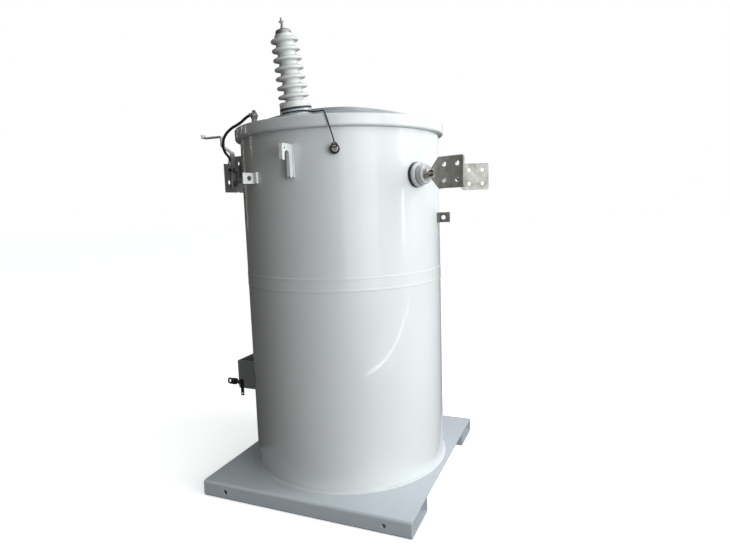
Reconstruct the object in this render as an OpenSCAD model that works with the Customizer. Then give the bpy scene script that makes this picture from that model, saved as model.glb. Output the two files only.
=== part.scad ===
// Pole mounted single-phase distribution transformer.
// Frame: origin on the tank axis at the level of the floor, +Z up.
// +X is the low-voltage side, -X the pole side, the base's folded rails run along X at +Y and -Y.
// An azimuth is measured from -Y towards +X.

/* [Tank] */
// Outer radius of the tank wall
tank_r = 325; // [280:1:380]
// Height of the tank's top edge above the floor
tank_top = 1130; // [1050:1:1300]
// Lower edge of the seam band above the floor
band_z = 658; // [500:1:760]
// Height of the seam band
band_h = 42; // [20:1:60]
// How far the seam band stands proud of the wall
band_proud = 3.5; // [2:0.5:8]
// Leg of the weld round the tank's foot
weld_leg = 8; // [4:1:14]

/* [Base] */
// Length of the base along X
base_l = 694; // [660:1:840]
// Width of the base across its rails
base_w = 760; // [720:1:900]
// Height of the base
base_h = 52; // [40:1:80]
// Thickness of the folded sheet
base_t = 4.5; // [3:0.5:8]
// Width of each rail's foot
rail_w = 150; // [90:1:200]
// Outer radius of the folds
fold_r = 9; // [7:1:16]
// Distance between the two holes of a rail
base_hole_pitch = 530; // [300:1:600]
// Radius of the rail holes
base_hole_r = 7; // [4:0.5:9]

/* [Cover] */
// Rise of the domed cover above its edge
dome_rise = 68; // [30:1:100]
// Height of the cover's flange above the tank's top edge
cover_flange_h = 8; // [4:1:14]
// How far the tank and cover flanges stand out from the wall
flange_out = 6; // [4:1:10]
// Outer height of the clamp band
clamp_h = 35; // [28:1:50]
// How far the clamp band stands out from the wall
clamp_out = 16; // [13:1:24]

/* [High voltage bushing] */
// Azimuth of the bushing
hv_az = -25; // [-40:0.5:10]
// Distance of the bushing's foot from the tank axis
hv_reach = 172; // [120:1:220]
// Lean of the bushing outward from upright
hv_lean = 8.5; // [0:0.5:12]
// Radius of the porcelain's flange
hv_flange_r = 48; // [40:1:56]
// Height of the flange
hv_flange_h = 19; // [10:1:26]
// Thickness of the gasket
hv_gasket_t = 6; // [3:1:10]
// Number of sheds
hv_sheds = 7; // [4:1:9]
// Distance from one shed to the next
hv_pitch = 27; // [24:1:34]
// Radius of the lowest shed
hv_shed_low = 48; // [42:0.5:56]
// Radius of the highest shed
hv_shed_top = 42; // [36:0.5:48]
// Radius of a shed's rounded edge
hv_lip_r = 8; // [5:0.5:9]
// Radius of the porcelain between the sheds
hv_core_r = 28; // [22:1:32]
// Radius of the metal cap
hv_cap_r = 24; // [18:1:30]
// Height of the metal cap
hv_cap_h = 15; // [10:1:24]
// Radius of the terminal's eye
hv_eye_r = 12; // [10:0.5:14]

/* [Low voltage bushings] */
// Angle of each bushing from +X
lv_spread = 22.5; // [15:0.5:40]
// Height of the bushings above the floor
lv_z = 987; // [800:1:1040]
// Radius of the gasket
lv_gasket_r = 37; // [30:1:44]
// Thickness of the gasket where it shows
lv_gasket_t = 7; // [4:1:12]
// Radius of the porcelain's flange
lv_flange_r = 36; // [28:1:42]
// Thickness of the porcelain's flange
lv_flange_t = 10; // [6:1:16]
// Radius of the porcelain's body
lv_body_r = 29; // [22:1:32]
// Length of the porcelain's body beyond the flange
lv_body_l = 22; // [14:1:40]
// Radius of the stud
lv_stud_r = 8; // [6:0.5:12]
// Side of the square spade plate
spade_w = 88; // [70:1:110]
// Length of the spade's square part
spade_l = 84; // [70:1:110]
// Length of the spade's taper
spade_taper = 29; // [15:1:40]
// Thickness of the spade
spade_t = 7; // [5:0.5:12]
// Distance from the tank axis to the middle of the spade's holes
spade_reach = 452; // [430:1:500]
// Spacing of the spade's holes
spade_pitch = 44.45; // [38:0.05:50]
// Radius of the spade's holes
spade_hole_r = 7.15; // [4:0.05:8]

/* [Lifting lugs] */
// Thickness of a lug
lug_t = 10; // [8:0.5:16]
// Height of a lug's top above the floor
lug_top = 1078; // [900:1:1100]
// Length of a lug's leg that is welded to the wall
lug_h = 93; // [70:1:120]
// Length of a lug's free leg
lug_hook_h = 46; // [36:1:60]
// How far a lug stands out from the wall
lug_out = 56; // [48:1:80]
// Width of the slot that takes the sling
lug_slot = 25; // [16:1:30]
// Width of the free leg
lug_hook_w = 12.5; // [10:0.5:16]

/* [Pole hangers] */
// Distance from the tank wall to the outer face of the hangers
hanger_out = 97; // [80:1:140]
// Thickness of the hanger plate
hanger_t = 6; // [5:0.5:10]
// Width of the upper hanger's face plate
upper_w = 148; // [120:1:180]
// Height of the upper hanger's face plate
upper_h = 100; // [80:1:120]
// Height of the bottom of the upper face plate above the floor
upper_z = 966; // [800:1:1010]
// Width over the upper hanger's two arms
upper_arm_w = 36; // [34:1:60]
// Distance between the two bolt holes of the upper face plate
upper_hole_pitch = 104; // [90:1:120]
// Radius of the bolt holes of the upper face plate
upper_hole_r = 8.75; // [6:0.25:11]
// Width of the lower hanger
lower_w = 133; // [110:1:160]
// Height of the lower hanger
lower_h = 105; // [80:1:140]
// Height of the bottom of the lower hanger above the floor
lower_z = 246; // [180:1:400]
// Width of the lower hanger's bolt slot and of the notch in the upper face plate
hanger_slot = 21; // [16:1:24]

/* [Arrester bracket] */
// Width of the bracket's flat bar
bar_w = 23; // [18:1:30]
// Thickness of the bracket's flat bar
bar_t = 5; // [4:0.5:8]
// Length of the bracket's level arm
arm_l = 83; // [60:1:140]

/* [Small fittings] */
// Height of a tab's strip
tab_h = 32; // [24:1:40]
// Thickness of a tab's strip
tab_t = 5; // [4:0.5:8]
// Length of the tab's leg with the hole
tab_leg = 37; // [30:1:50]
// Length of the tab's foot on the wall
tab_foot = 27; // [20:1:40]
// Radius of a tab's hole
tab_hole_r = 7; // [4:0.5:8]
// Radius of the relief valve's body
valve_r = 13.5; // [11:0.5:18]
// How far the relief valve stands out from the wall
valve_out = 20; // [14:1:30]
// Azimuth of the relief valve
valve_az = 22.5; // [10:0.5:40]
// Height of the relief valve above the floor
valve_z = 1059; // [900:1:1080]
// Diameter of the black bonding lead
lead_d = 9.5; // [6:0.5:11]
// Diameter of the bare wire from the relief valve to the high voltage bushing
wire_d = 3; // [2:0.5:4]

/* [Hidden] */
$fn = 96;
e = 1;
fit = 0.1;

sheet_grey = [0.66, 0.70, 0.72];
paint_grey = [0.70, 0.72, 0.71];
glaze_grey = [0.82, 0.83, 0.82];
tin_grey = [0.50, 0.48, 0.45];
steel_grey = [0.60, 0.60, 0.60];
bronze = [0.50, 0.38, 0.25];
black = [0.05, 0.05, 0.05];

// Clamp band and cover
flange_r = tank_r + flange_out;
clamp_z = tank_top - 11;
clamp_t = 5;
cover_seat = tank_top + cover_flange_h;
clamp_top = clamp_z + clamp_h;
dome_edge_z = clamp_top - clamp_t;
dome_r = flange_r - 4;
dome_ball = (dome_r * dome_r + dome_rise * dome_rise) / (2 * dome_rise);
dome_ball_z = dome_edge_z + dome_rise - dome_ball;
band_mid = band_z + band_h / 2;

// High voltage bushing: its foot on the dome, and the raised seat that it stands on
hv_foot_z = dome_ball_z + sqrt(dome_ball * dome_ball - hv_reach * hv_reach);
hv_seat_r = hv_flange_r + 4;
hv_seat_h = hv_seat_r * tan(asin(hv_reach / dome_ball) - hv_lean) + 2;
hv_first_shed = hv_flange_h + 17;
hv_cap_top_r = hv_cap_r - 4.8;
hv_top = hv_first_shed + (hv_sheds - 1) * hv_pitch + hv_lip_r + 7;

// Low voltage bushings
lv_seat = tank_r + lv_gasket_t;
lv_end = lv_seat + lv_flange_t + lv_body_l;
spade_out = spade_reach + spade_l / 2;
spade_shoulder = spade_reach - spade_l / 2;
spade_neck = spade_shoulder - spade_taper;
lv_hub_r = 13;

// Hangers
face_x = -(tank_r + hanger_out);
inner_x = face_x + hanger_t;
upper_hole_z = upper_z + 36;
bar_y = -31;
lead_bolt_z = upper_z + 79;
lug_palm_t = 3;

// Route of the bonding lead from the cover stud to the hanger
lead_pts = [
    [-243, -156, 1204.5], [-258, -152, 1200.9], [-274, -147, 1195], [-292, -140, 1188], [-314, -133, 1182],
    [-336, -126, 1177], [-357, -118, 1170], [-377, -109, 1161], [-394, -99, 1150], [-407, -89, 1137],
    [-415, -79, 1123], [-417, -70, 1110], [-415, -62, 1099], [-411, -56, 1091], [-409, -54, 1082],
    [-409, -54, 1074],
];

// Route of the bare wire from the relief valve over the clamp band to the bushing
wire_pts = [
    [132, -319, 1077], [128.5, -320.3, 1091], [124.5, -321.7, 1106], [120.5, -323.2, 1121],
    [116.5, -324.6, 1136], [112.5, -325.8, 1149], [107.5, -324, 1158], [98.5, -314, 1163], [84, -300, 1165],
    [64, -284, 1168], [40, -266, 1173.5], [16, -248, 1180.5], [-8, -232, 1185.5], [-30, -221, 1188],
    [-52, -213, 1189.2], [-72, -209.5, 1189], [-92, -206.5, 1187.5],
];

// Cover stud of the bonding lead
stud_x = -224;
stud_y = -162;
stud_d = 12;
stud_lug_z = tank_top + 69;

// Tag under the lower hanger's side bolt
tag_t = 1.5;
tag_bolt_d = 9;

// Turns its children to an azimuth, so that their +X points outward from the tank axis.
module at_azimuth(a) {
    rotate([0, 0, a - 90]) children();
}

// Stands its children on the high voltage bushing's seat, with +Z along the bushing.
module on_hv_seat() {
    at_azimuth(hv_az)
        translate([hv_reach, 0, hv_foot_z])
            rotate([0, hv_lean, 0])
                children();
}

// Lays its children's +Z along the outward radius at an azimuth and a height.
module out_from_wall(a, z) {
    translate([0, 0, z]) at_azimuth(a) rotate([0, 90, 0]) children();
}

module hex_head(across, h) {
    cylinder(d = across / cos(30), h = h, $fn = 6);
}

// Quarter of a folded sheet's section, in the quadrant that sx and sy choose.
module fold_section(r, t, sx, sy) {
    intersection() {
        difference() {
            circle(r = r);
            circle(r = r - t);
        }
        translate([sx > 0 ? 0 : -r - e, sy > 0 ? 0 : -r - e]) square(r + e);
    }
}

function unit(v) = v / norm(v);

// Round tube along a route: one ring of points at each place of the route.
module tube(pts, d, sides) {
    last = len(pts) - 1;
    function heading(i) = unit(pts[min(i + 1, last)] - pts[max(i - 1, 0)]);
    function across(i) = unit(cross(heading(i), [0.31, -0.87, 0.38]));
    function rings() = [
        for (i = [0 : last], k = [0 : sides - 1])
            let (u = across(i), v = cross(heading(i), u), a = 360 * k / sides)
                pts[i] + d / 2 * (cos(a) * u + sin(a) * v)
    ];
    walls = [
        for (i = [0 : last - 1], k = [0 : sides - 1])
            let (n = (k + 1) % sides, a = i * sides, b = a + sides)
                each [[a + n, a + k, b + k], [a + n, b + k, b + n]]
    ];
    near_end = [for (k = [1 : sides - 2]) [0, k, k + 1]];
    far_end = [for (k = [1 : sides - 2]) [last * sides, last * sides + k + 1, last * sides + k]];
    polyhedron(points = rings(), faces = concat(walls, near_end, far_end), convexity = 6);
}

module rail_section() {
    half = base_w / 2;
    foot_in = half - rail_w;
    translate([-e, base_h - base_t]) square([half - fold_r + e, base_t]);
    translate([half - fold_r, base_h - fold_r]) fold_section(fold_r, base_t, 1, 1);
    translate([half - base_t, fold_r]) square([base_t, base_h - 2 * fold_r]);
    translate([half - fold_r, fold_r]) fold_section(fold_r, base_t, 1, -1);
    translate([foot_in + fold_r, 0]) square([rail_w - 2 * fold_r, base_t]);
    translate([foot_in + fold_r, fold_r]) fold_section(fold_r, base_t, -1, -1);
    translate([foot_in, fold_r]) square([base_t, base_h - fold_r - base_t / 2]);
}

module base_pan() {
    color(sheet_grey)
        difference() {
            translate([-base_l / 2, 0, 0])
                rotate([90, 0, 90])
                    linear_extrude(base_l) {
                        rail_section();
                        mirror([1, 0]) rail_section();
                    }
            for (side = [-1, 1], end = [-1, 1])
                translate([end * base_hole_pitch / 2, side * (base_w / 2 - base_t / 2), base_h / 2])
                    rotate([90, 0, 0])
                        cylinder(r = base_hole_r, h = base_t + 2 * e, center = true);
        }
}

module foot_weld() {
    color(paint_grey)
        translate([0, 0, base_h])
            rotate_extrude($fn = 180)
                polygon([[tank_r, 0], [tank_r + weld_leg, 0], [tank_r, weld_leg]]);
}

module tank_lower() {
    color(paint_grey) translate([0, 0, base_h]) cylinder(r = tank_r, h = band_mid - base_h, $fn = 180);
}

module tank_upper() {
    color(paint_grey) {
        translate([0, 0, band_mid]) cylinder(r = tank_r, h = tank_top - band_mid, $fn = 180);
        translate([0, 0, tank_top - clamp_t]) cylinder(r = flange_r, h = clamp_t, $fn = 180);
    }
}

module tank_band() {
    edge = band_proud / 2;
    color(paint_grey)
        translate([0, 0, band_z])
            rotate_extrude($fn = 180)
                polygon([
                    [tank_r, 0], [tank_r + band_proud - edge, 0], [tank_r + band_proud, edge],
                    [tank_r + band_proud, band_h - edge], [tank_r + band_proud - edge, band_h],
                    [tank_r, band_h],
                ]);
}

module cover() {
    color(paint_grey) {
        translate([0, 0, tank_top]) cylinder(r = flange_r, h = cover_flange_h, $fn = 180);
        translate([0, 0, cover_seat - e]) cylinder(r = dome_r, h = dome_edge_z - cover_seat + e, $fn = 180);
        intersection() {
            translate([0, 0, dome_ball_z]) sphere(r = dome_ball, $fn = 240);
            translate([0, 0, dome_edge_z - e]) cylinder(r = dome_r, h = dome_rise + 2 * e, $fn = 180);
        }
        on_hv_seat()
            translate([0, 0, -hv_seat_r / 3])
                cylinder(r = hv_seat_r, h = hv_seat_r / 3 + hv_seat_h);
    }
}

// Rolled channel that grips the tank's flange and the cover's flange together.
module clamp_band() {
    out_r = tank_r + clamp_out;
    round_r = 10;
    groove = 0.3;
    color(paint_grey)
        rotate_extrude($fn = 180)
            difference() {
                union() {
                    translate([tank_r + groove, clamp_z + round_r])
                        square([out_r - tank_r - groove, clamp_h - 2 * round_r]);
                    translate([tank_r + groove, clamp_z])
                        square([out_r - round_r - tank_r - groove, clamp_h]);
                    translate([out_r - round_r, clamp_z + round_r]) circle(r = round_r);
                    translate([out_r - round_r, clamp_top - round_r]) circle(r = round_r);
                }
                translate([0, clamp_z - e]) square([tank_r + groove, clamp_h + 2 * e]);
                translate([tank_r, tank_top - clamp_t - groove])
                    square([flange_out + groove, clamp_t + cover_flange_h + 2 * groove]);
                translate([tank_r, cover_seat])
                    square([dome_r - tank_r + groove, clamp_top - cover_seat + e]);
            }
}

// Draw bolt across the split of the clamp band, between its two ears.
module clamp_bolt() {
    ear_t = 6;
    gap = 14;
    color(steel_grey)
        translate([0, 0, clamp_z + clamp_h / 2])
            at_azimuth(-118)
                translate([tank_r + clamp_out + 0.3, 0, 0]) {
                    for (side = [-1, 1])
                        translate([0, side * (gap + ear_t) / 2 - ear_t / 2, -12]) cube([26, ear_t, 24]);
                    translate([14, 0, 0])
                        rotate([90, 0, 0])
                            cylinder(d = 10, h = gap + 2 * ear_t + 30, center = true);
                    for (side = [0, 1])
                        mirror([0, side, 0])
                            translate([14, gap / 2 + ear_t - e, 0]) rotate([-90, 0, 0]) hex_head(17, 8 + e);
                }
}

module hv_gasket() {
    color(black) on_hv_seat() translate([0, 0, hv_seat_h]) cylinder(r = hv_flange_r + 1.5, h = hv_gasket_t);
}

// Stacks its children above the gasket.
module above_hv_gasket(h) {
    on_hv_seat() translate([0, 0, hv_seat_h + hv_gasket_t + h]) children();
}

// Half section of one shed of outer radius r, with its rounded edge at the origin's height.
module shed_section(r) {
    translate([r - hv_lip_r, 0]) circle(r = hv_lip_r, $fn = 48);
    polygon([[0, 2 - hv_lip_r], [r - hv_lip_r, -hv_lip_r], [r - hv_lip_r, hv_lip_r], [0, hv_lip_r + 3]]);
}

module hv_porcelain() {
    round_r = 5;
    shrink = (hv_shed_low - hv_shed_top) / (hv_sheds - 1);
    color(glaze_grey)
        above_hv_gasket(0)
            rotate_extrude()
                intersection() {
                    union() {
                        square([hv_core_r, hv_top]);
                        square([hv_flange_r, hv_flange_h - round_r]);
                        square([hv_flange_r - round_r, hv_flange_h]);
                        translate([hv_flange_r - round_r, hv_flange_h - round_r])
                            circle(r = round_r, $fn = 48);
                        for (k = [0 : hv_sheds - 1])
                            translate([0, hv_first_shed + k * hv_pitch])
                                shed_section(hv_shed_low - k * shrink);
                    }
                    square([hv_shed_low + e, hv_top]);
                }
}

module hv_cap() {
    color(steel_grey)
        above_hv_gasket(hv_top)
            rotate_extrude()
                polygon([
                    [0, 0], [hv_cap_r, 0], [hv_cap_r, hv_cap_h * 0.6],
                    [hv_cap_top_r, hv_cap_h], [0, hv_cap_h],
                ]);
}

// Eye bolt that takes the line's wire: a stem, and a ring in the plane of the bushing's lean.
module hv_terminal() {
    stem_h = 12;
    ring_r = 3;
    color(steel_grey)
        above_hv_gasket(hv_top + hv_cap_h) {
            cylinder(r = 5, h = stem_h);
            translate([0, 0, stem_h + hv_eye_r - ring_r + 1])
                rotate([90, 0, 50])
                    rotate_extrude() translate([hv_eye_r - ring_r, 0]) circle(r = ring_r, $fn = 32);
        }
}

// Clamping screw beside the eye.
module hv_terminal_screw() {
    color(steel_grey)
        above_hv_gasket(hv_top + hv_cap_h)
            rotate([0, 0, 50])
                translate([hv_cap_top_r - 4, 0, 0]) {
                    cylinder(d = 5, h = 22);
                    translate([0, 0, 15]) hex_head(8, 5);
                    cylinder(d = 8, h = 3);
                }
}

module lv_gasket(side) {
    color(black)
        difference() {
            out_from_wall(90 + side * lv_spread, lv_z) cylinder(r = lv_gasket_r, h = lv_seat);
            translate([0, 0, lv_z - 2 * lv_gasket_r]) cylinder(r = tank_r, h = 4 * lv_gasket_r, $fn = 180);
        }
}

module lv_porcelain(side) {
    round_r = 3;
    foot = 3;
    color(glaze_grey)
        out_from_wall(90 + side * lv_spread, lv_z)
            translate([0, 0, lv_seat])
                rotate_extrude() {
                    square([lv_flange_r - round_r, lv_flange_t]);
                    translate([0, round_r]) square([lv_flange_r, lv_flange_t - 2 * round_r]);
                    translate([lv_flange_r - round_r, round_r]) circle(r = round_r, $fn = 32);
                    translate([lv_flange_r - round_r, lv_flange_t - round_r]) circle(r = round_r, $fn = 32);
                    translate([0, lv_flange_t - e]) square([lv_body_r - foot, lv_body_l + e]);
                    translate([0, lv_flange_t + foot]) square([lv_body_r, lv_body_l - 2 * foot]);
                    translate([lv_body_r - foot, lv_flange_t + foot]) circle(r = foot, $fn = 32);
                    translate([lv_body_r - foot, lv_flange_t + lv_body_l - foot])
                        circle(r = foot, $fn = 32);
                }
}

// Stud with its clamping nut, from the porcelain to the spade's hub.
module lv_stud(side) {
    color(tin_grey)
        out_from_wall(90 + side * lv_spread, lv_z) {
            translate([0, 0, lv_end]) cylinder(r = lv_stud_r, h = spade_neck - lv_end);
            translate([0, 0, lv_end]) cylinder(r = 15, h = 2);
            translate([0, 0, lv_end + 2 - e / 2]) hex_head(24, 6);
        }
}

// Flat spade with four holes, upright in the plane of the bushing's axis, and the hub that holds the stud.
module lv_spade(side) {
    corner = 5;
    half = spade_w / 2;
    color(tin_grey)
        translate([0, 0, lv_z])
            at_azimuth(90 + side * lv_spread) {
                rotate([90, 0, 0])
                    translate([0, 0, -spade_t / 2])
                        linear_extrude(spade_t)
                            difference() {
                                union() {
                                    translate([spade_shoulder, -half]) square([spade_l - corner, spade_w]);
                                    translate([spade_out - corner - e, corner - half])
                                        square([corner + e, spade_w - 2 * corner]);
                                    for (end = [-1, 1])
                                        translate([spade_out - corner, end * (half - corner)])
                                            circle(r = corner, $fn = 48);
                                    polygon([
                                        [spade_neck + 1, -lv_hub_r], [spade_shoulder, -half],
                                        [spade_shoulder, half], [spade_neck + 1, lv_hub_r],
                                    ]);
                                }
                                for (x = [-1, 1], z = [-1, 1])
                                    translate([spade_reach + x * spade_pitch / 2, z * spade_pitch / 2])
                                        circle(r = spade_hole_r, $fn = 48);
                            }
                translate([spade_neck, 0, 0]) rotate([0, 90, 0]) cylinder(r = lv_hub_r, h = 20);
            }
}

// Points of an arc about [x, y], from angle a to angle b.
function arc(x, y, r, a, b) = [
    for (k = [0 : 12])
        let (t = a + (b - a) * k / 12)
            [x + r * cos(t), y + r * sin(t)]
];

// Hooked plate: the long leg is welded to the wall, the free leg hangs outside the sling's slot.
module lifting_lug(side) {
    corner = 8;
    end_r = lug_hook_w / 2;
    slot_r = lug_slot / 2;
    foot = lug_out - lug_hook_w - lug_slot;
    slot_z = -18 - slot_r;
    outline = concat(
        [[0, 0]],
        arc(lug_out - corner, -corner, corner, 90, 0),
        arc(lug_out - end_r, end_r - lug_hook_h, end_r, 0, -180),
        arc(foot + slot_r, slot_z, slot_r, 0, 180),
        [[foot, 5 - lug_h], [foot * 0.6, -lug_h], [0, 10 - lug_h]]
    );
    color(paint_grey)
        rotate([0, 0, side * 90])
            translate([tank_r + fit, lug_t / 2, lug_top])
                rotate([90, 0, 0])
                    linear_extrude(lug_t)
                        difference() {
                            polygon(outline);
                            translate([lug_out - lug_hook_w, -13]) circle(r = 3, $fn = 24);
                        }
}

// Slot for the pole bolt, open at its foot: a round head and straight sides, cut along X.
module bolt_slot(z, h) {
    translate([face_x - e, 0, z]) {
        translate([0, -hanger_slot / 2, -e]) cube([hanger_t + 2 * e, hanger_slot, h + e]);
        translate([0, 0, h]) rotate([0, 90, 0]) cylinder(d = hanger_slot, h = hanger_t + 2 * e);
    }
}

// Face plate carried by two arms on each side; each arm plate has a window between its arms.
module upper_hanger() {
    arm_z = upper_z + 34;
    arm_h = 95;
    low_arm = 17;
    top_arm = 21;
    post = 12;
    color(paint_grey)
        difference() {
            union() {
                translate([face_x, -upper_w / 2, upper_z]) cube([hanger_t, upper_w, upper_h]);
                for (side = [-1, 1])
                    translate([inner_x - e, side * (upper_arm_w - hanger_t) / 2 - hanger_t / 2, arm_z])
                        difference() {
                            cube([hanger_out - hanger_t + e + 10, hanger_t, arm_h]);
                            translate([post + e, -e, low_arm])
                                cube([hanger_out, hanger_t + 2 * e, arm_h - low_arm - top_arm]);
                        }
            }
            translate([face_x - e, 0, upper_z - hanger_slot * 0.3])
                rotate([0, 90, 0])
                    cylinder(d = hanger_slot, h = hanger_t + 2 * e);
            for (side = [-1, 1])
                translate([face_x - e, side * upper_hole_pitch / 2, upper_hole_z])
                    rotate([0, 90, 0])
                        cylinder(r = upper_hole_r, h = hanger_t + 2 * e);
            translate([0, 0, upper_z - e]) cylinder(r = tank_r, h = 140, $fn = 180);
        }
}

// Channel with two side walls, open above and below.
module lower_hanger() {
    color(paint_grey)
        difference() {
            translate([face_x, -lower_w / 2, lower_z]) cube([hanger_out + 60, lower_w, lower_h]);
            translate([inner_x, -lower_w / 2 + hanger_t, lower_z - e])
                cube([hanger_out + 80, lower_w - 2 * hanger_t, lower_h + 2 * e]);
            bolt_slot(lower_z, 55);
            translate([0, 0, lower_z - e]) cylinder(r = tank_r, h = lower_h + 2 * e, $fn = 180);
        }
}

// Flat bar bent up and outward from the upper hanger, with a turned-up tip.
module arrester_bracket() {
    x0 = inner_x;
    foot_z = upper_z + 15;
    knee_z = upper_z + 139;
    neck_z = knee_z + 26;
    arm_z = neck_z + 33;
    neck_x = inner_x - 39;
    tip_x = neck_x - arm_l;
    color(steel_grey)
        translate([0, bar_y + bar_w / 2, 0])
            rotate([90, 0, 0])
                linear_extrude(bar_w)
                    polygon([
                        [x0, foot_z], [x0 + bar_t, foot_z], [x0 + bar_t, knee_z + 2],
                        [neck_x + bar_t, neck_z + 2], [neck_x + bar_t, arm_z + bar_t],
                        [tip_x + bar_t, arm_z + bar_t], [tip_x + bar_t, arm_z + 14], [tip_x, arm_z + 14],
                        [tip_x, arm_z], [neck_x, arm_z], [neck_x, neck_z], [x0, knee_z],
                    ]);
}

// Bolts of the bracket's bar, and the smaller bolt of the lead's lug.
module bracket_bolts() {
    color(black) {
        for (z = [upper_z + 30, upper_z + 80])
            translate([inner_x + bar_t, bar_y, z]) rotate([0, 90, 0]) {
                cylinder(d = 20, h = 2);
                translate([0, 0, 2 - e / 2]) hex_head(16, 8);
            }
        translate([inner_x, lead_pts[len(lead_pts) - 1][1], lead_bolt_z])
            rotate([0, 90, 0]) {
                cylinder(d = 8, h = lug_palm_t + 2);
                translate([0, 0, lug_palm_t]) hex_head(12, 6);
            }
    }
}

// Strip bent square: a foot on the wall and a leg with a hole.
module holed_tab(a, side, z) {
    translate([0, 0, z - tab_h / 2])
        at_azimuth(a)
            difference() {
                union() {
                    translate([tank_r - 4, side > 0 ? 0 : -tab_foot, 0]) cube([tab_t + 4, tab_foot, tab_h]);
                    translate([tank_r - 4, side > 0 ? 0 : -tab_t, 0]) cube([tab_leg + 4, tab_t, tab_h]);
                }
                translate([tank_r + tab_leg * 0.45, side * tab_t / 2, tab_h / 2])
                    rotate([90, 0, 0])
                        cylinder(r = tab_hole_r, h = tab_t + 2 * e, center = true);
                translate([0, 0, -e]) cylinder(r = tank_r + fit, h = tab_h + 2 * e, $fn = 180);
            }
}

module neutral_tab() {
    color(paint_grey) holed_tab(-28.7, 1, 994);
}

module ground_tab() {
    color(paint_grey) holed_tab(96.5, -1, 857);
}

// Bronze eye bolt clamp on the lower hanger's face.
module ground_connector() {
    color(bronze)
        translate([face_x, -lower_w / 2 + 16, lower_z + 17])
            rotate([0, -90, 0]) {
                hex_head(22, 8);
                cylinder(d = 13, h = 40);
                translate([0, 0, 24]) cylinder(d = 24, h = 16);
                translate([0, 0, 50])
                    rotate([90, 0, 0])
                        rotate_extrude() translate([9, 0]) circle(r = 3.5, $fn = 32);
            }
}

// Places its children on the lower hanger's side wall, with +Z out of the wall.
module on_lower_side() {
    translate([inner_x + 9, -lower_w / 2, lower_z + 26]) rotate([90, 0, 0]) children();
}

module tag_bolt() {
    color(steel_grey)
        on_lower_side() {
            cylinder(d = tag_bolt_d, h = tag_t + 2);
            translate([0, 0, tag_t]) cylinder(d = 18, h = 2);
            translate([0, 0, tag_t + 2 - e / 2]) hex_head(14, 7);
        }
}

// Small holed strip under the bolt's washer.
module connector_tag() {
    color(steel_grey)
        on_lower_side()
            linear_extrude(tag_t)
                difference() {
                    translate([-7, -54]) square([14, 62]);
                    circle(d = tag_bolt_d + 1, $fn = 32);
                    translate([0, -46]) circle(r = 2.5, $fn = 24);
                }
}

module relief_valve() {
    color(bronze)
        difference() {
            out_from_wall(valve_az, valve_z) {
                cylinder(r = valve_r, h = tank_r + valve_out - 8);
                cylinder(r = valve_r - 4, h = tank_r + valve_out);
            }
            translate([0, 0, valve_z - 3 * valve_r]) cylinder(r = tank_r, h = 6 * valve_r, $fn = 180);
        }
}

// Pull ring on the end of the valve's stem, upright and facing outward.
module relief_ring() {
    wire_r = 1.5;
    ring_r = 7;
    color(steel_grey)
        out_from_wall(valve_az, valve_z)
            translate([-valve_r + 4.5, 0, tank_r + valve_out + wire_r])
                rotate_extrude() translate([ring_r, 0]) circle(r = wire_r, $fn = 24);
}

module relief_wire() {
    color(black) tube(wire_pts, wire_d, 8);
}

// Stud on the cover that takes the bonding lead: a boss, a nut under the lug and a nut over it.
module cover_stud() {
    color(steel_grey)
        difference() {
            translate([stud_x, stud_y, dome_edge_z]) {
                cylinder(d = stud_d, h = stud_lug_z + 18 - dome_edge_z);
                cylinder(d = 24, h = stud_lug_z - 8 - dome_edge_z);
                translate([0, 0, stud_lug_z - 8 - e - dome_edge_z]) hex_head(19, 8 + e);
                translate([0, 0, stud_lug_z + lug_palm_t - dome_edge_z]) hex_head(17, 8);
            }
            translate([0, 0, dome_ball_z]) sphere(r = dome_ball, $fn = 240);
        }
}

// Lays its children's +Z along a direction from a point.
module along(p, v) {
    translate(p) rotate([0, acos(v[2] / norm(v)), atan2(v[1], v[0])]) children();
}

// Lug on the cover stud: a ring round the stud and a barrel that meets the lead's end.
module lead_lug_top() {
    start = lead_pts[0];
    color(tin_grey)
        difference() {
            union() {
                translate([stud_x, stud_y, stud_lug_z]) cylinder(d = 26, h = lug_palm_t);
                along(start, start - lead_pts[1]) cylinder(d = lead_d + 4, h = 8);
            }
            translate([stud_x, stud_y, stud_lug_z - 4]) cylinder(d = stud_d + 0.6, h = 20);
        }
}

// Lug on the upper hanger: a flat palm with a hole, and a barrel under the lead's end.
module lead_lug_foot() {
    end = lead_pts[len(lead_pts) - 1];
    color(tin_grey)
        difference() {
            union() {
                translate([inner_x, end[1] - 8, lead_bolt_z - 9])
                    cube([lug_palm_t, 16, end[2] - lead_bolt_z - 3]);
                translate([end[0], end[1], end[2] - 14]) cylinder(d = lead_d + 4, h = 14);
            }
            translate([inner_x - e, end[1], lead_bolt_z])
                rotate([0, 90, 0])
                    cylinder(d = 8.6, h = lug_palm_t + 2 * e);
        }
}

module bonding_lead() {
    color(black) tube(lead_pts, lead_d, 10);
}

base_pan();
foot_weld();
tank_lower();
tank_band();
tank_upper();
cover();
clamp_band();
clamp_bolt();
hv_gasket();
hv_porcelain();
hv_cap();
hv_terminal();
hv_terminal_screw();
lv_gasket(-1);  // lv_gasket_left
lv_gasket(1);  // lv_gasket_right
lv_porcelain(-1);  // lv_porcelain_left
lv_porcelain(1);  // lv_porcelain_right
lv_stud(-1);  // lv_stud_left
lv_stud(1);  // lv_stud_right
lv_spade(-1);  // lv_spade_left
lv_spade(1);  // lv_spade_right
lifting_lug(-1);  // lifting_lug_left
lifting_lug(1);  // lifting_lug_right
upper_hanger();
lower_hanger();
arrester_bracket();
bracket_bolts();
neutral_tab();
ground_tab();
ground_connector();
tag_bolt();
connector_tag();
relief_valve();
relief_ring();
relief_wire();
cover_stud();
lead_lug_top();
lead_lug_foot();
bonding_lead();
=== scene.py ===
"""Finished surfaces of a pole mounted transformer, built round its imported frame."""

import math
from functools import partial

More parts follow.
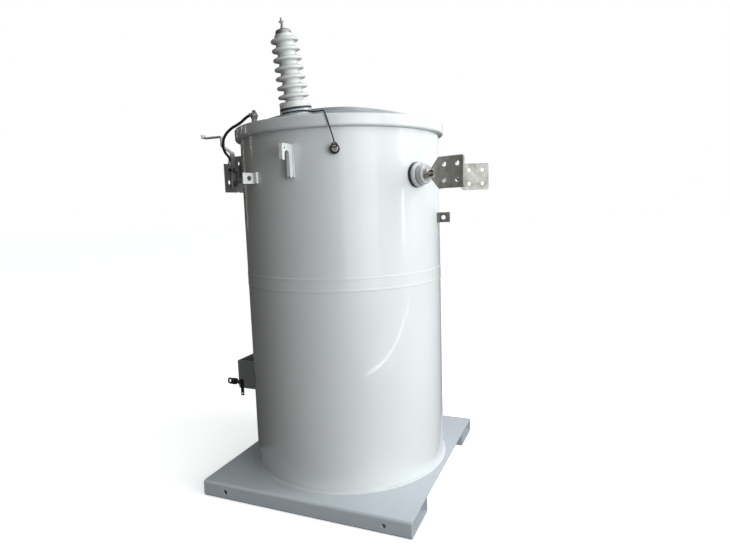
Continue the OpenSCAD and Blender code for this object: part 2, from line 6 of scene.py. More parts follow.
import bmesh
import bpy
from bpy.props import FloatProperty, FloatVectorProperty, IntProperty, PointerProperty
from bpy.types import Operator, Panel, PropertyGroup
from mathutils import Euler, Matrix, Vector


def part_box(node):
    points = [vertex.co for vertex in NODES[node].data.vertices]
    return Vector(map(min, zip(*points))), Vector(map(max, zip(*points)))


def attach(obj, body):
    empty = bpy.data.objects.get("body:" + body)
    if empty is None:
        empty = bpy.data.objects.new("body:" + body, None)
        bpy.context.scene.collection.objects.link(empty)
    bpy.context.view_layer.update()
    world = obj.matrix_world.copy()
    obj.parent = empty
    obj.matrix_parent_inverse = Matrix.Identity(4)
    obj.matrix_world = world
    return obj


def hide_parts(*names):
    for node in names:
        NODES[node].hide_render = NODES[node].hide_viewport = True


bl_info = {
    "name": "Pole Mounted Transformer",
    "version": (1, 0, 0),
    "blender": (4, 5, 0),
    "location": "View3D > Sidebar > Transformer",
    "description": "Builds the finished pieces of a pole mounted transformer round its packed frame",
    "category": "Add Mesh",
}

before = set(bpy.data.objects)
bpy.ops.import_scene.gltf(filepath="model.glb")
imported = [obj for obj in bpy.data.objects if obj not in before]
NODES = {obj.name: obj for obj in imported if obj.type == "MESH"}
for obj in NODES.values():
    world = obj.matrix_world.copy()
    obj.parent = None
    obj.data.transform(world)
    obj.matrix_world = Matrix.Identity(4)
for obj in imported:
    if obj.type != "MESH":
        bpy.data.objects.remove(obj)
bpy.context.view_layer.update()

BODY = "root"
MM = 0.001
WELDED = 1e-5
UP = Vector((0, 0, 1))


# ---------------------------------------------------------------------------
# Places and sizes taken from the frame
# ---------------------------------------------------------------------------


def low(node):
    return Vector(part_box(node)[0])


def high(node):
    return Vector(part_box(node)[1])


def middle(node):
    return (low(node) + high(node)) / 2


def axis_frame(origin, direction, across=(0, 0, 1)):
    """Matrix that lays +Z along a direction, with +X as near to across as it can be."""
    z = Vector(direction).normalized()
    x = Vector(across) - z * z.dot(Vector(across))
    if x.length < 1e-6:
        x = z.orthogonal()
    x.normalize()
    y = z.cross(x)
    place = Matrix((x, y, z)).transposed().to_4x4()
    place.translation = Vector(origin)
    return place


TANK_R = high("tank_lower").x
TANK_FOOT_Z = low("tank_lower").z
SEAM_Z = high("tank_lower").z
TANK_TOP = high("tank_upper").z


def on_wall(side_y, z, out=0.0):
    """Point on the tank wall at a distance side_y from the plane y = 0, on the pole side."""
    r = TANK_R + out
    return Vector((-math.sqrt(r * r - side_y * side_y), side_y, z))


# ---------------------------------------------------------------------------
# Settings
# ---------------------------------------------------------------------------


class CordSizes(PropertyGroup):
    lead_diameter: FloatProperty(
        name="Lead Diameter", description="Outer diameter of the bonding lead's black jacket",
        default=0.0095, unit="LENGTH",
    )
    wire_diameter: FloatProperty(
        name="Wire Diameter", description="Diameter of the twisted wire that ties the relief valve's ring",
        default=0.0036, unit="LENGTH",
    )


class PaintLooks(PropertyGroup):
    tank_colour: FloatVectorProperty(
        name="Tank Colour", description="Colour of the gloss paint on the tank",
        subtype="COLOR", default=(0.66, 0.67, 0.655), min=0, max=1,
    )
    base_colour: FloatVectorProperty(
        name="Base Colour", description="Colour of the paint on the folded base",
        subtype="COLOR", default=(0.50, 0.54, 0.58), min=0, max=1,
    )
    # Darker and bluer than the tank colour: painted shade and painted reflection on the domed cover.
    cover_shaded_colour: FloatVectorProperty(
        name="Cover Shaded Colour", description="Colour of the paint on the domed cover",
        subtype="COLOR", default=(0.45, 0.48, 0.51), min=0, max=1,
    )
    hanger_colour: FloatVectorProperty(
        name="Hanger Colour", description="Colour of the paint on the pole hangers",
        subtype="COLOR", default=(0.28, 0.29, 0.285), min=0, max=1,
    )


class MetalLooks(PropertyGroup):
    spade_colour: FloatVectorProperty(
        name="Spade Colour", description="Colour of the tinned spades",
        subtype="COLOR", default=(0.74, 0.71, 0.66), min=0, max=1,
    )
    bronze_colour: FloatVectorProperty(
        name="Bronze Colour", description="Colour of the ground connector",
        subtype="COLOR", default=(0.16, 0.15, 0.13), min=0, max=1,
    )
    zinc_colour: FloatVectorProperty(
        name="Zinc Colour", description="Colour of the plated bar, bolts and washers",
        subtype="COLOR", default=(0.58, 0.59, 0.60), min=0, max=1,
    )


class PorcelainSizes(PropertyGroup):
    sheds: IntProperty(
        name="Sheds", description="Number of sheds on the high-voltage bushing", default=7, min=2, max=12,
    )
    shed_pitch: FloatProperty(
        name="Shed Pitch", description="Distance from one shed to the next", default=0.027, unit="LENGTH",
    )
    first_shed: FloatProperty(
        name="First Shed", description="Height of the lowest shed's rim above the gasket",
        default=0.036, unit="LENGTH",
    )
    low_radius: FloatProperty(
        name="Lowest Shed Radius", description="Radius of the lowest shed", default=0.048, unit="LENGTH",
    )
    top_radius: FloatProperty(
        name="Highest Shed Radius", description="Radius of the highest shed", default=0.042, unit="LENGTH",
    )
    core_radius: FloatProperty(
        name="Core Radius", description="Radius of the porcelain between the sheds", default=0.028, unit="LENGTH",
    )
    glaze_colour: FloatVectorProperty(
        name="Glaze Colour", description="Colour of the glaze",
        subtype="COLOR", default=(0.68, 0.69, 0.665), min=0, max=1,
    )


class WeldSizes(PropertyGroup):
    foot_width: FloatProperty(
        name="Foot Bead", description="Width of the weld bead round the tank's foot", default=0.0085, unit="LENGTH",
    )
    fitting_width: FloatProperty(
        name="Fitting Bead", description="Width of the weld beads at the lugs, hangers and tabs",
        default=0.0055, unit="LENGTH",
    )
    ripple: FloatProperty(
        name="Ripple", description="Distance from one ripple of a bead to the next", default=0.0042, unit="LENGTH",
    )


class StageLooks(PropertyGroup):
    floor_colour: FloatVectorProperty(
        name="Floor Colour", description="Colour of the floor",
        subtype="COLOR", default=(0.93, 0.935, 0.94), min=0, max=1,
    )
    lens: FloatProperty(name="Lens", description="Focal length of the camera in millimetres", default=26.41)


# ---------------------------------------------------------------------------
# Mesh work
# ---------------------------------------------------------------------------


def object_from(name, shape, material=None, sharp=40):
    """Object with a smooth-shaded mesh made from a bmesh, its hard edges kept sharp."""
    mesh = bpy.data.meshes.new(name)
    shape.to_mesh(mesh)
    shape.free()
    mesh.shade_smooth()
    mesh.set_sharp_from_angle(angle=math.radians(sharp))
    piece = bpy.data.objects.new(name, mesh)
    bpy.context.scene.collection.objects.link(piece)
    if material:
        mesh.materials.append(material)
    return piece


def settled(piece):
    """Applies the modifiers of a piece and leaves it a plain mesh at the origin."""
    bpy.context.view_layer.update()
    evaluated = piece.evaluated_get(bpy.context.evaluated_depsgraph_get())
    mesh = bpy.data.meshes.new_from_object(evaluated)
    mesh.transform(piece.matrix_world)
    name, materials = piece.name, [m for m in piece.data.materials]
    bpy.data.objects.remove(piece)
    done = bpy.data.objects.new(name, mesh)
    bpy.context.scene.collection.objects.link(done)
    if not len(mesh.materials):
        for material in materials:
            mesh.materials.append(material)
    return done


def crisp(piece):
    """Gives flat faces their own normals, so that eased edges shade cleanly."""
    weighted = piece.modifiers.new("weighted", "WEIGHTED_NORMAL")
    weighted.keep_sharp = True
    weighted.weight = 80
    return settled(piece)


def joined(name, pieces):
    """One object from several, with their materials."""
    for piece in bpy.context.selected_objects:
        piece.select_set(False)
    for piece in pieces:
        piece.select_set(True)
    bpy.context.view_layer.objects.active = pieces[0]
    bpy.ops.object.join()
    pieces[0].name = name
    pieces[0].data.name = name
    return pieces[0]


def finished(piece, slot, *nodes):
    """Attaches a piece to its body and hides the nodes that it stands for; the slot argument is not used."""
    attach(piece, BODY)
    if nodes:
        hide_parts(*nodes)
    return piece


def raised(place, z):
    return place @ Matrix.Translation((0, 0, z))


def eased_outline(points, steps=4, ring=False):
    """Rounds the corners of an outline. Each point is (radius, height, ease)."""
    out = []
    count = len(points)
    for i, (r, z, ease) in enumerate(points):
        here = Vector((r, z))
        if ease <= 0 or (not ring and i in (0, count - 1)):
            out.append(here)
            continue
        back = Vector(points[i - 1][:2]) - here
        on = Vector(points[(i + 1) % count][:2]) - here
        half = back.angle(on) / 2
        reach = min(ease / math.tan(half), back.length * 0.49, on.length * 0.49)
        start = here + back.normalized() * reach
        end = here + on.normalized() * reach
        for k in range(steps + 1):
            s = k / steps
            out.append(start * (1 - s) ** 2 + here * 2 * s * (1 - s) + end * s * s)
    return out


def around(count):
    """Angles of evenly spread points on a circle."""
    return [2 * math.pi * k / count for k in range(count)]


def skin(shape, rows, capped=False):
    """Joins rows of points with faces. A row of one point closes to a tip."""
    for near, far in zip(rows, rows[1:]):
        count = max(len(near), len(far))
        for k in range(count if count > 1 else 0):
            n = (k + 1) % count
            if len(near) == 1:
                corners = near[0], far[n], far[k]
            elif len(far) == 1:
                corners = near[k], near[n], far[0]
            else:
                corners = near[k], near[n], far[n], far[k]
            shape.faces.new(corners)
    if capped:
        shape.faces.new(list(reversed(rows[0])))
        shape.faces.new(rows[-1])


def lathe(shape, outline, sides, place, ring=False):
    """Adds a surface of revolution about the place's +Z to a bmesh."""
    rows = [
        [
            shape.verts.new(place @ Vector((r * math.cos(a), r * math.sin(a), z)))
            for a in around(1 if r < WELDED else sides)
        ]
        for r, z in outline
    ]
    skin(shape, rows + rows[:1] if ring else rows)


def turned(name, points, place=Matrix(), sides=96, ring=False, material=None, sharp=40, steps=4):
    """Closed surface of revolution about the place's +Z, from the points of an eased outline."""
    shape = bmesh.new()
    lathe(shape, eased_outline(points, steps, ring), sides, place, ring)
    bmesh.ops.recalc_face_normals(shape, faces=shape.faces)
    return object_from(name, shape, material, sharp)


def eased_copy(name, node, ease, material, steps=3, limit=35):
    """Copy of a node with its hard edges rounded; the rounded faces carry the attribute edge."""
    shape = bmesh.new()
    shape.from_mesh(NODES[node].data)
    edge_marks = shape.faces.layers.float.new("edge")
    bmesh.ops.remove_doubles(shape, verts=shape.verts, dist=WELDED)
    bmesh.ops.dissolve_limit(shape, angle_limit=math.radians(0.6), verts=shape.verts, edges=shape.edges)
    hard = [
        edge for edge in shape.edges if len(edge.link_faces) == 2 and edge.calc_face_angle() > math.radians(limit)
    ]
    made = bmesh.ops.bevel(
        shape,
        geom=hard,
        offset=ease,
        offset_type="OFFSET",
        segments=steps,
        profile=0.5,
        affect="EDGES",
        clamp_overlap=True,
    )
    for face in made["faces"]:
        face[edge_marks] = 1.0
    bmesh.ops.recalc_face_normals(shape, faces=shape.faces)
    return crisp(object_from(name, shape, material, sharp=60))


def eased_piece(name, node, ease, material, slot, limit=50):
    """Finished copy of a node with its hard edges rounded."""
    return finished(eased_copy(name, node, ease, material, limit=limit), slot, node)


def hex_outline(shape, across, height, place, chamfer=0.12, sides=48):
    """Adds a hexagonal head with turned corners to a bmesh, standing on z = 0."""
    flat = across / 2
    inner = flat * (1 - chamfer / 2)
    drop = math.tan(math.radians(28))
    rows = [[], [], [], []]
    for a in around(sides):
        r = flat / math.cos((a + math.pi / 6) % (math.pi / 3) - math.pi / 6)
        fall = (r - inner) * drop
        for row, (radius, z) in zip(rows, ((inner, 0), (r, fall * 0.6), (r, height - fall), (inner, height))):
            row.append(shape.verts.new(place @ Vector((radius * math.cos(a), radius * math.sin(a), z))))
    skin(shape, rows, capped=True)


def round_bar(shape, radius, z0, z1, place, ease=0.0006, sides=40):
    """Adds a round bar with eased ends to a bmesh."""
    outline = [(0, z0), (radius - ease, z0), (radius, z0 + ease), (radius, z1 - ease), (radius - ease, z1), (0, z1)]
    lathe(shape, outline, sides, place)


def ring_bar(shape, ring_r, wire_r, place, sides=64, round_sides=20):
    """Adds a torus about the place's +Z to a bmesh."""
    rows = []
    for a in around(sides):
        row = []
        for b in around(round_sides):
            r = ring_r + wire_r * math.cos(b)
            row.append(shape.verts.new(place @ Vector((r * math.cos(a), r * math.sin(a), wire_r * math.sin(b)))))
        rows.append(row)
    skin(shape, rows + rows[:1])


def solid(name, material, *makers):
    """Object from closed shapes in one bmesh. Each maker is a function that draws one, and its sizes."""
    shape = bmesh.new()
    for draw, *sizes in makers:
        draw(shape, *sizes)
    bmesh.ops.recalc_face_normals(shape, faces=shape.faces)
    return object_from(name, shape, material, sharp=32)


def smooth_route(points, steps=6):
    """Points on a smooth curve through a route's points."""
    pts = [Vector(p) for p in points]
    pts = [pts[0] * 2 - pts[1]] + pts + [pts[-1] * 2 - pts[-2]]
    out = []
    for a, b, c, d in zip(pts, pts[1:], pts[2:], pts[3:]):
        for k in range(steps):
            t = k / steps
            slope, bend, rest = (c - a) * t, (2 * a - 5 * b + 4 * c - d) * t * t, (3 * b - a - 3 * c + d) * t * t * t
            out.append(0.5 * (2 * b + slope + bend + rest))
    out.append(pts[-2])
    return out


def tube(name, path, radius, material, sides=20, strands=0, twist=0.0, depth=0.0):
    """Closed round tube along a path, with an optional twist of strands in its section."""
    shape = bmesh.new()
    normal = None
    rows = []
    travelled = 0.0
    for i, point in enumerate(path):
        ahead = (path[min(i + 1, len(path) - 1)] - path[max(i - 1, 0)]).normalized()
        if normal is None:
            normal = ahead.orthogonal().normalized()
        normal = (normal - ahead * normal.dot(ahead)).normalized()
        side = ahead.cross(normal)
        if i:
            travelled += (point - path[i - 1]).length
        row = []
        for a in around(sides):
            r = radius
            if strands:
                wave = abs(math.cos((a * strands + travelled * twist) / 2))
                r = radius * (1 - depth * (1 - wave) ** 2)
            row.append(shape.verts.new(point + (normal * math.cos(a) + side * math.sin(a)) * r))
        rows.append(row)
    skin(shape, rows, capped=True)
    bmesh.ops.recalc_face_normals(shape, faces=shape.faces)
    return object_from(name, shape, material, sharp=60)


# ---------------------------------------------------------------------------
# Shader work
# ---------------------------------------------------------------------------


def put(tree, value, socket):
    """Links a socket to an input, or sets the input to a value."""
    if isinstance(value, bpy.types.NodeSocket):
        tree.links.new(value, socket)
    else:
        socket.default_value = value


def feed(tree, node, **inputs):
    """Feeds a node. A keyword is an input's name with _ for a space, or a property of the node."""
    for key, value in inputs.items():
        socket = node.inputs.get(key.replace("_", " "))
        if socket is None:
            setattr(node, key, value)
        else:
            put(tree, value, socket)
    return node


def add_node(tree, kind, **inputs):
    return feed(tree, tree.nodes.new(kind), **inputs)


def math_node(tree, operation, *values):
    """Math node on numbers or sockets."""
    made = add_node(tree, "ShaderNodeMath", operation=operation)
    for value, socket in zip(values, made.inputs):
        put(tree, value, socket)
    return made.outputs[0]


def float_curve(tree, value, points):
    """Float curve through the points; returns its value."""
    made = add_node(tree, "ShaderNodeFloatCurve", Value=value)
    curve = made.mapping.curves[0]
    while len(curve.points) < len(points):
        curve.points.new(0.5, 0.5)
    for point, place in zip(curve.points, points):
        point.location = place
    made.mapping.update()
    return made.outputs[0]


def ramp(tree, source, stops):
    """Colour ramp between (position, grey) stops; returns its value."""
    made = tree.nodes.new("ShaderNodeValToRGB")
    band = made.color_ramp
    while len(band.elements) < len(stops):
        band.elements.new(0.5)
    for element, (position, grey) in zip(band.elements, stops):
        element.position = position
        element.color = (grey, grey, grey, 1)
    tree.links.new(source, made.inputs[0])
    return made.outputs[0]


def mix_colour(tree, factor, a, b, blend="MIX"):
    made = add_node(tree, "ShaderNodeMix", data_type="RGBA", blend_type=blend)
    for value, socket in ((factor, 0), (a, 6), (b, 7)):
        if not isinstance(value, (int, float, bpy.types.NodeSocket)):
            value = (*value[:3], 1)
        put(tree, value, made.inputs[socket])
    return made.outputs[2]


def empty_tree(kind, name, inputs, outputs):
    """New node group with named sockets; returns it, what it is given and what it gives out."""
    tree = bpy.data.node_groups.new(name, kind)
    for label, socket_type, value in inputs:
        socket = tree.interface.new_socket(label, in_out="INPUT", socket_type="NodeSocket" + socket_type)
        if value is not None:
            socket.default_value = value
    for label, socket_type in outputs:
        tree.interface.new_socket(label, in_out="OUTPUT", socket_type="NodeSocket" + socket_type)
    return tree, tree.nodes.new("NodeGroupInput").outputs, tree.nodes.new("NodeGroupOutput").inputs


def group_tree(name, inputs, *outputs):
    """Empty shader group of floats and vectors."""
    sockets = [(label, "Vector" if isinstance(value, tuple) else "Float", value) for label, value in inputs]
    return empty_tree("ShaderNodeTree", name, sockets, [(label, "Float") for label in outputs])


def shared_tree(name):
    """Gives a node group its name, and builds it on its first use only."""
    return lambda build: lambda: bpy.data.node_groups.get(name) or build(name)


def shared_material(build):
    """Builds a material on its first use only."""
    return lambda name, *looks, **more: bpy.data.materials.get(name) or build(name, *looks, **more)


def noise(tree, vector, scale, detail=2.0, roughness=0.5):
    """Noise value on a vector socket; scale is a number or a socket."""
    return add_node(
        tree, "ShaderNodeTexNoise", Vector=vector, Scale=scale, Detail=detail, Roughness=roughness
    ).outputs[0]


def object_coords(tree):
    return tree.nodes.new("ShaderNodeTexCoord").outputs["Object"]


def stretched(tree, coords, scale):
    return add_node(tree, "ShaderNodeMapping", Vector=coords, Scale=scale).outputs[0]


@shared_tree("paint film")
def paint_film_group(name):
    """Slow waves of sheet under paint, and the fine skin of sprayed paint."""
    tree, given, out = group_tree(
        name, [("Wave Scale", 5.0), ("Wave Height", 1.0), ("Skin Scale", 420.0), ("Skin Height", 0.12)], "Height"
    )
    coords = object_coords(tree)
    parts = [
        math_node(tree, "MULTIPLY", noise(tree, coords, given[kind + " Scale"], 1.0), given[kind + " Height"])
        for kind in ("Wave", "Skin")
    ]
    put(tree, math_node(tree, "ADD", *parts), out["Height"])
    return tree


@shared_tree("dust and runs")
def dust_group(name):
    """Thin dust and run marks: a mask that is stronger near the ground."""
    tree, given, out = group_tree(name, [("Amount", 0.2), ("Ground Height", 0.3)], "Mask")
    coords = object_coords(tree)
    height = add_node(tree, "ShaderNodeSeparateXYZ", Vector=coords).outputs[2]
    runs = ramp(tree, noise(tree, stretched(tree, coords, (14, 14, 0.9)), 1.6, 4.0, 0.6), ((0.48, 0), (0.78, 1)))
    cloud = ramp(tree, noise(tree, coords, 9.0, 5.0, 0.62), ((0.42, 0), (0.75, 1)))
    near_ground = math_node(tree, "SUBTRACT", 1.0, math_node(tree, "DIVIDE", height, given["Ground Height"]))
    near_ground = math_node(tree, "MAXIMUM", near_ground, 0.12)
    both = math_node(tree, "ADD", math_node(tree, "MULTIPLY", runs, 0.6), cloud)
    total = math_node(tree, "MULTIPLY", both, near_ground)
    total = math_node(tree, "MULTIPLY", total, given["Amount"])
    put(tree, math_node(tree, "MINIMUM", total, 1.0), out["Mask"])
    return tree


@shared_tree("edge wear")
def edge_highlight_and_chips_group(name):
    """Masks on the rounded edges that the attribute edge marks: a painted highlight that lightens every such edge
    evenly, and chipped paint in patches along them.
    """
    tree, given, out = group_tree(name, [("Amount", 0.4), ("Chip Scale", 160.0)], "Rubbed", "Chipped")
    edge = add_node(tree, "ShaderNodeAttribute", attribute_name="edge")
    coords = object_coords(tree)
    patches = ramp(tree, noise(tree, coords, given["Chip Scale"], 3.0), ((0.56, 0), (0.62, 1)))
    slow = ramp(tree, noise(tree, coords, 22.0, 2.0), ((0.5, 0), (0.62, 1)))
    # The edge mask is even along every rounded edge. It gives the painted highlight and bounds the chipped paint.
    edge_highlight_and_wear = math_node(tree, "MULTIPLY", edge.outputs["Fac"], given["Amount"])
    put(tree, edge_highlight_and_wear, out["Rubbed"])
    put(tree, math_node(tree, "MULTIPLY", math_node(tree, "MULTIPLY", patches, slow), edge_highlight_and_wear), out["Chipped"])
    return tree


@shared_tree("metal grain")
def metal_grain_group(name):
    """Drawn or brushed grain, and cloudy tarnish."""
    tree, given, out = group_tree(
        name, [("Along", (0.08, 1.0, 1.0)), ("Grain Scale", 900.0), ("Cloud Scale", 45.0)], "Grain", "Cloud"
    )
    coords = object_coords(tree)
    put(tree, noise(tree, stretched(tree, coords, given["Along"]), given["Grain Scale"], 3.0), out["Grain"])
    put(tree, ramp(tree, noise(tree, coords, given["Cloud Scale"], 5.0, 0.6), ((0.32, 0), (0.7, 1))), out["Cloud"])
    return tree


def use_group(tree, group, **values):
    made = add_node(tree, "ShaderNodeGroup", node_tree=group)
    return feed(tree, made, **values).outputs


def new_material(name):
    """Material with a Principled shader; returns it, its tree and the shader."""
    material = bpy.data.materials.new(name)
    material.use_nodes = True
    tree = material.node_tree
    return material, tree, tree.nodes["Principled BSDF"]


def bump(tree, shader, height, strength, distance):
    made = add_node(tree, "ShaderNodeBump", Strength=strength, Distance=distance, Height=height)
    put(tree, made.outputs[0], shader.inputs["Normal"])


def lighter(colour, gain, lift):
    return [min(1.0, c * gain + lift) for c in colour]


@shared_material
def gloss_paint(name, colour, rough=0.22, coat=0.7, wave=1.0, dust=0.2, highlight_and_wear=0.3, skin=0.12):
    """Sprayed gloss paint on steel, with dust, run marks, chipped edges and a painted highlight along the rounded
    edges.
    """
    material, tree, shader = new_material(name)
    film = use_group(tree, paint_film_group(), Wave_Height=wave, Skin_Height=skin)
    dusty = use_group(tree, dust_group(), Amount=dust)["Mask"]
    edge_marks = use_group(tree, edge_highlight_and_chips_group(), Amount=highlight_and_wear)
    shade = ramp(tree, noise(tree, object_coords(tree), 2.4, 3.0), ((0.3, 0), (0.7, 1)))
    base = mix_colour(tree, shade, [c * 0.93 for c in colour], colour)
    base = mix_colour(tree, dusty, base, (0.50, 0.48, 0.43))
    # Painted highlight: every rounded edge is lightened by the same amount.
    base = mix_colour(tree, edge_marks["Rubbed"], base, lighter(colour, 1.28, 0.04))
    base = mix_colour(tree, edge_marks["Chipped"], base, (0.16, 0.14, 0.12))
    rougher = math_node(tree, "ADD", math_node(tree, "MULTIPLY", dusty, 0.5), rough)
    feed(tree, shader, Base_Color=base, Roughness=rougher, Coat_Weight=coat, Coat_Roughness=0.06)
    bump(tree, shader, film["Height"], 0.35, 0.0012)
    return material


@shared_material
def glazed_porcelain(name, colour):
    """Thick glaze with faint pooling and specks."""
    material, tree, shader = new_material(name)
    coords = object_coords(tree)
    pool = ramp(tree, noise(tree, coords, 26.0, 3.0), ((0.35, 0), (0.7, 1)))
    specks = ramp(tree, noise(tree, coords, 620.0, 1.0), ((0.70, 0), (0.76, 1)))
    base = mix_colour(tree, pool, [c * 0.90 for c in colour], colour)
    base = mix_colour(tree, math_node(tree, "MULTIPLY", specks, 0.35), base, (0.32, 0.30, 0.27))
    rough = math_node(tree, "ADD", math_node(tree, "MULTIPLY", pool, 0.06), 0.10)
    feed(tree, shader, Base_Color=base, Roughness=rough, Coat_Weight=0.8, Coat_Roughness=0.04)
    bump(tree, shader, noise(tree, coords, 60.0, 2.0), 0.12, 0.0006)
    return material


@shared_material
def metal(name, colour, rough=0.32, along=(0.08, 1, 1), tarnish=0.35, grain=0.25, tarnish_colour=None, metallic=1.0):
    """Bare or plated metal with grain and tarnish."""
    material, tree, shader = new_material(name)
    surface = use_group(tree, metal_grain_group(), Along=along)
    edge_marks = use_group(tree, edge_highlight_and_chips_group(), Amount=0.5)
    amount = math_node(tree, "MULTIPLY", surface["Cloud"], tarnish)
    base = mix_colour(tree, amount, colour, tarnish_colour or [c * 0.45 for c in colour])
    streak = ramp(tree, surface["Grain"], ((0.3, 0.84), (0.7, 1.0)))
    base = mix_colour(tree, 1.0, base, streak, blend="MULTIPLY")
    # Painted highlight: every rounded edge is lightened by the same amount.
    base = mix_colour(tree, edge_marks["Rubbed"], base, lighter(colour, 1.3, 0.05))
    rougher = math_node(tree, "ADD", math_node(tree, "MULTIPLY", surface["Grain"], grain), rough)
    rougher = math_node(tree, "ADD", rougher, math_node(tree, "MULTIPLY", amount, 0.25))
    feed(tree, shader, Base_Color=base, Metallic=metallic, Roughness=rougher)
    bump(tree, shader, surface["Grain"], 0.12, 0.0003)
    return material


@shared_material
def dark_rubber(name, colour, rough=0.55, scale=900.0):
    """Moulded rubber or cable jacket, with a fine skin and dull bloom."""
    material, tree, shader = new_material(name)
    coords = object_coords(tree)
    bloom = ramp(tree, noise(tree, coords, 70.0, 4.0), ((0.4, 0), (0.75, 1)))
    base = mix_colour(tree, math_node(tree, "MULTIPLY", bloom, 0.35), colour, (0.16, 0.16, 0.155))
    rougher = math_node(tree, "ADD", math_node(tree, "MULTIPLY", bloom, 0.18), rough)
    feed(tree, shader, Base_Color=base, Roughness=rougher)
    bump(tree, shader, noise(tree, coords, scale, 2.0), 0.25, 0.0003)
    return material



def settings(name):
    return getattr(bpy.context.scene, "transformer_" + name)


def tank_paint():
    return gloss_paint("tank gloss paint", tuple(settings("paint").tank_colour), wave=1.7, dust=0.05)


def weld_paint():
    paint = settings("paint")
    mixed = tuple((a + b) / 2 for a, b in zip(paint.tank_colour, paint.base_colour))
    return gloss_paint("painted weld", mixed, rough=0.3, coat=0.5, wave=0.4, dust=0.4)


# Cover paint in the darker, bluer colour that stands for painted shade and reflection.
def cover_paint():
    return gloss_paint("cover gloss paint", tuple(settings("paint").cover_shaded_colour), dust=0.3)


def base_paint():
    return gloss_paint(
        "base paint", tuple(settings("paint").base_colour), rough=0.32, coat=0.35, wave=0.7, dust=0.35, highlight_and_wear=0.5
    )


def hanger_paint():
    return gloss_paint(
        "hanger paint", tuple(settings("paint").hanger_colour), rough=0.3, coat=0.4, wave=0.3, dust=0.3, highlight_and_wear=0.55
    )


def glaze():
    return glazed_porcelain("porcelain glaze", tuple(settings("porcelain").glaze_colour))


# The porcelain glaze darkened to 78 per cent: painted shade on the low-voltage bushings.
def shaded_glaze():
    return glazed_porcelain("grey glaze", tuple(c * 0.78 for c in settings("porcelain").glaze_colour))


def gasket_rubber():
    return dark_rubber("gasket rubber", (0.018, 0.018, 0.018))


def zinc():
    return metal("zinc plate", tuple(settings("metal").zinc_colour), rough=0.3, tarnish=0.4)


def tinned():
    colour = tuple(settings("metal").spade_colour)
    return metal("tinned copper", colour, 0.30, (1.0, 1.0, 0.10), tarnish=0.5, tarnish_colour=(0.20, 0.17, 0.13))


def dull_bronze():
    colour = tuple(settings("metal").bronze_colour)
    return metal("dull bronze", colour, 0.34, (1.0, 1.0, 1.0), tarnish=0.7, tarnish_colour=(0.025, 0.022, 0.02))


def galvanised():
    return metal("galvanised", (0.74, 0.75, 0.74), rough=0.42, tarnish=0.3, metallic=0.35)


def dull_plate():
    return metal("dull plate", (0.34, 0.33, 0.31), rough=0.36, tarnish=0.45)


def bright_plate():
    return metal("bright plate", (0.95, 0.95, 0.93), rough=0.4, tarnish=0.1, metallic=0.2)


def black_steel():
    return metal("black steel", (0.10, 0.10, 0.10), rough=0.42, tarnish=0.5, tarnish_colour=(0.02, 0.02, 0.02))


# ---------------------------------------------------------------------------
# Geometry node trees
# ---------------------------------------------------------------------------


def geometry_tree(name, inputs):
    """Geometry tree with a mesh in, a mesh out and named inputs."""
    mesh = ("Geometry", "Geometry")
    return empty_tree("GeometryNodeTree", name, [(*mesh, None), *inputs], [mesh])


def end_tree(tree, geometry, material, out):
    """Ends a geometry tree with real, smooth geometry and its material."""
    real = add_node(tree, "GeometryNodeRealizeInstances", Geometry=geometry)
    smooth = add_node(tree, "GeometryNodeSetShadeSmooth", Geometry=real.outputs[0])
    coated = add_node(tree, "GeometryNodeSetMaterial", Geometry=smooth.outputs[0], Material=material)
    put(tree, coated.outputs[0], out[0])
    return tree


def run_tree(piece, tree, **values):
    """Runs a geometry tree on a piece and leaves the result as a plain mesh."""
    modifier = piece.modifiers.new(tree.name, "NODES")
    modifier.node_group = tree
    for item in tree.interface.items_tree:
        if item.item_type != "SOCKET" or item.in_out != "INPUT":
            continue
        key = item.name.replace(" ", "_").lower()
        if key in values:
            modifier[item.identifier] = values[key]
    return settled(piece)


def spaced_points(tree, given, step, axis):
    """Even points along the edges of the given mesh, and the turn that lays an axis along the edge."""
    path = add_node(tree, "GeometryNodeMeshToCurve", Mesh=given["Geometry"]).outputs["Curve"]
    spaced = add_node(tree, "GeometryNodeResampleCurve", mode="LENGTH", Curve=path, Length=step)
    tangent = tree.nodes.new("GeometryNodeInputTangent").outputs[0]
    turn = add_node(tree, "FunctionNodeAlignRotationToVector", axis=axis, Vector=tangent)
    return spaced.outputs["Curve"], turn.outputs["Rotation"]


@shared_tree("weld bead")
def weld_bead_tree(name):
    """Lays ripples of weld along the edges of a mesh."""
    tree, given, out = geometry_tree(
        name,
        [
            ("Width", "Float", 0.006),
            ("Ripple", "Float", 0.004),
            ("Unevenness", "Float", 0.15),
            ("Seed", "Int", 3),
            ("Paint", "Material", None),
        ],
    )
    points, turn = spaced_points(tree, given, given["Ripple"], "X")
    half = math_node(tree, "MULTIPLY", given["Width"], 0.5)
    ripple = add_node(tree, "GeometryNodeMeshUVSphere", Segments=12, Rings=8, Radius=half)
    size = add_node(tree, "FunctionNodeRandomValue", data_type="FLOAT", Seed=given["Seed"])
    put(tree, math_node(tree, "SUBTRACT", 1.0, given["Unevenness"]), size.inputs[2])
    put(tree, math_node(tree, "ADD", 1.0, given["Unevenness"]), size.inputs[3])
    placed = add_node(
        tree,
        "GeometryNodeInstanceOnPoints",
        Points=points,
        Instance=ripple.outputs["Mesh"],
        Rotation=turn,
        Scale=size.outputs[1],
    )
    return end_tree(tree, placed.outputs[0], given["Paint"], out)


def paths_object(name, paths):
    """Mesh of bare edges along several paths."""
    shape = bmesh.new()
    for path in paths:
        verts = [shape.verts.new(p) for p in path]
        for a, b in zip(verts, verts[1:]):
            shape.edges.new((a, b))
    return object_from(name, shape)


def weld_beads(name, paths, width, paint, seed, unevenness=0.14):
    blank = paths_object(name, paths)
    ripple = settings("weld").ripple
    return run_tree(
        blank, weld_bead_tree(), width=width, ripple=ripple, unevenness=unevenness, seed=seed, paint=paint
    )


RIDGE_SHARE = 0.42


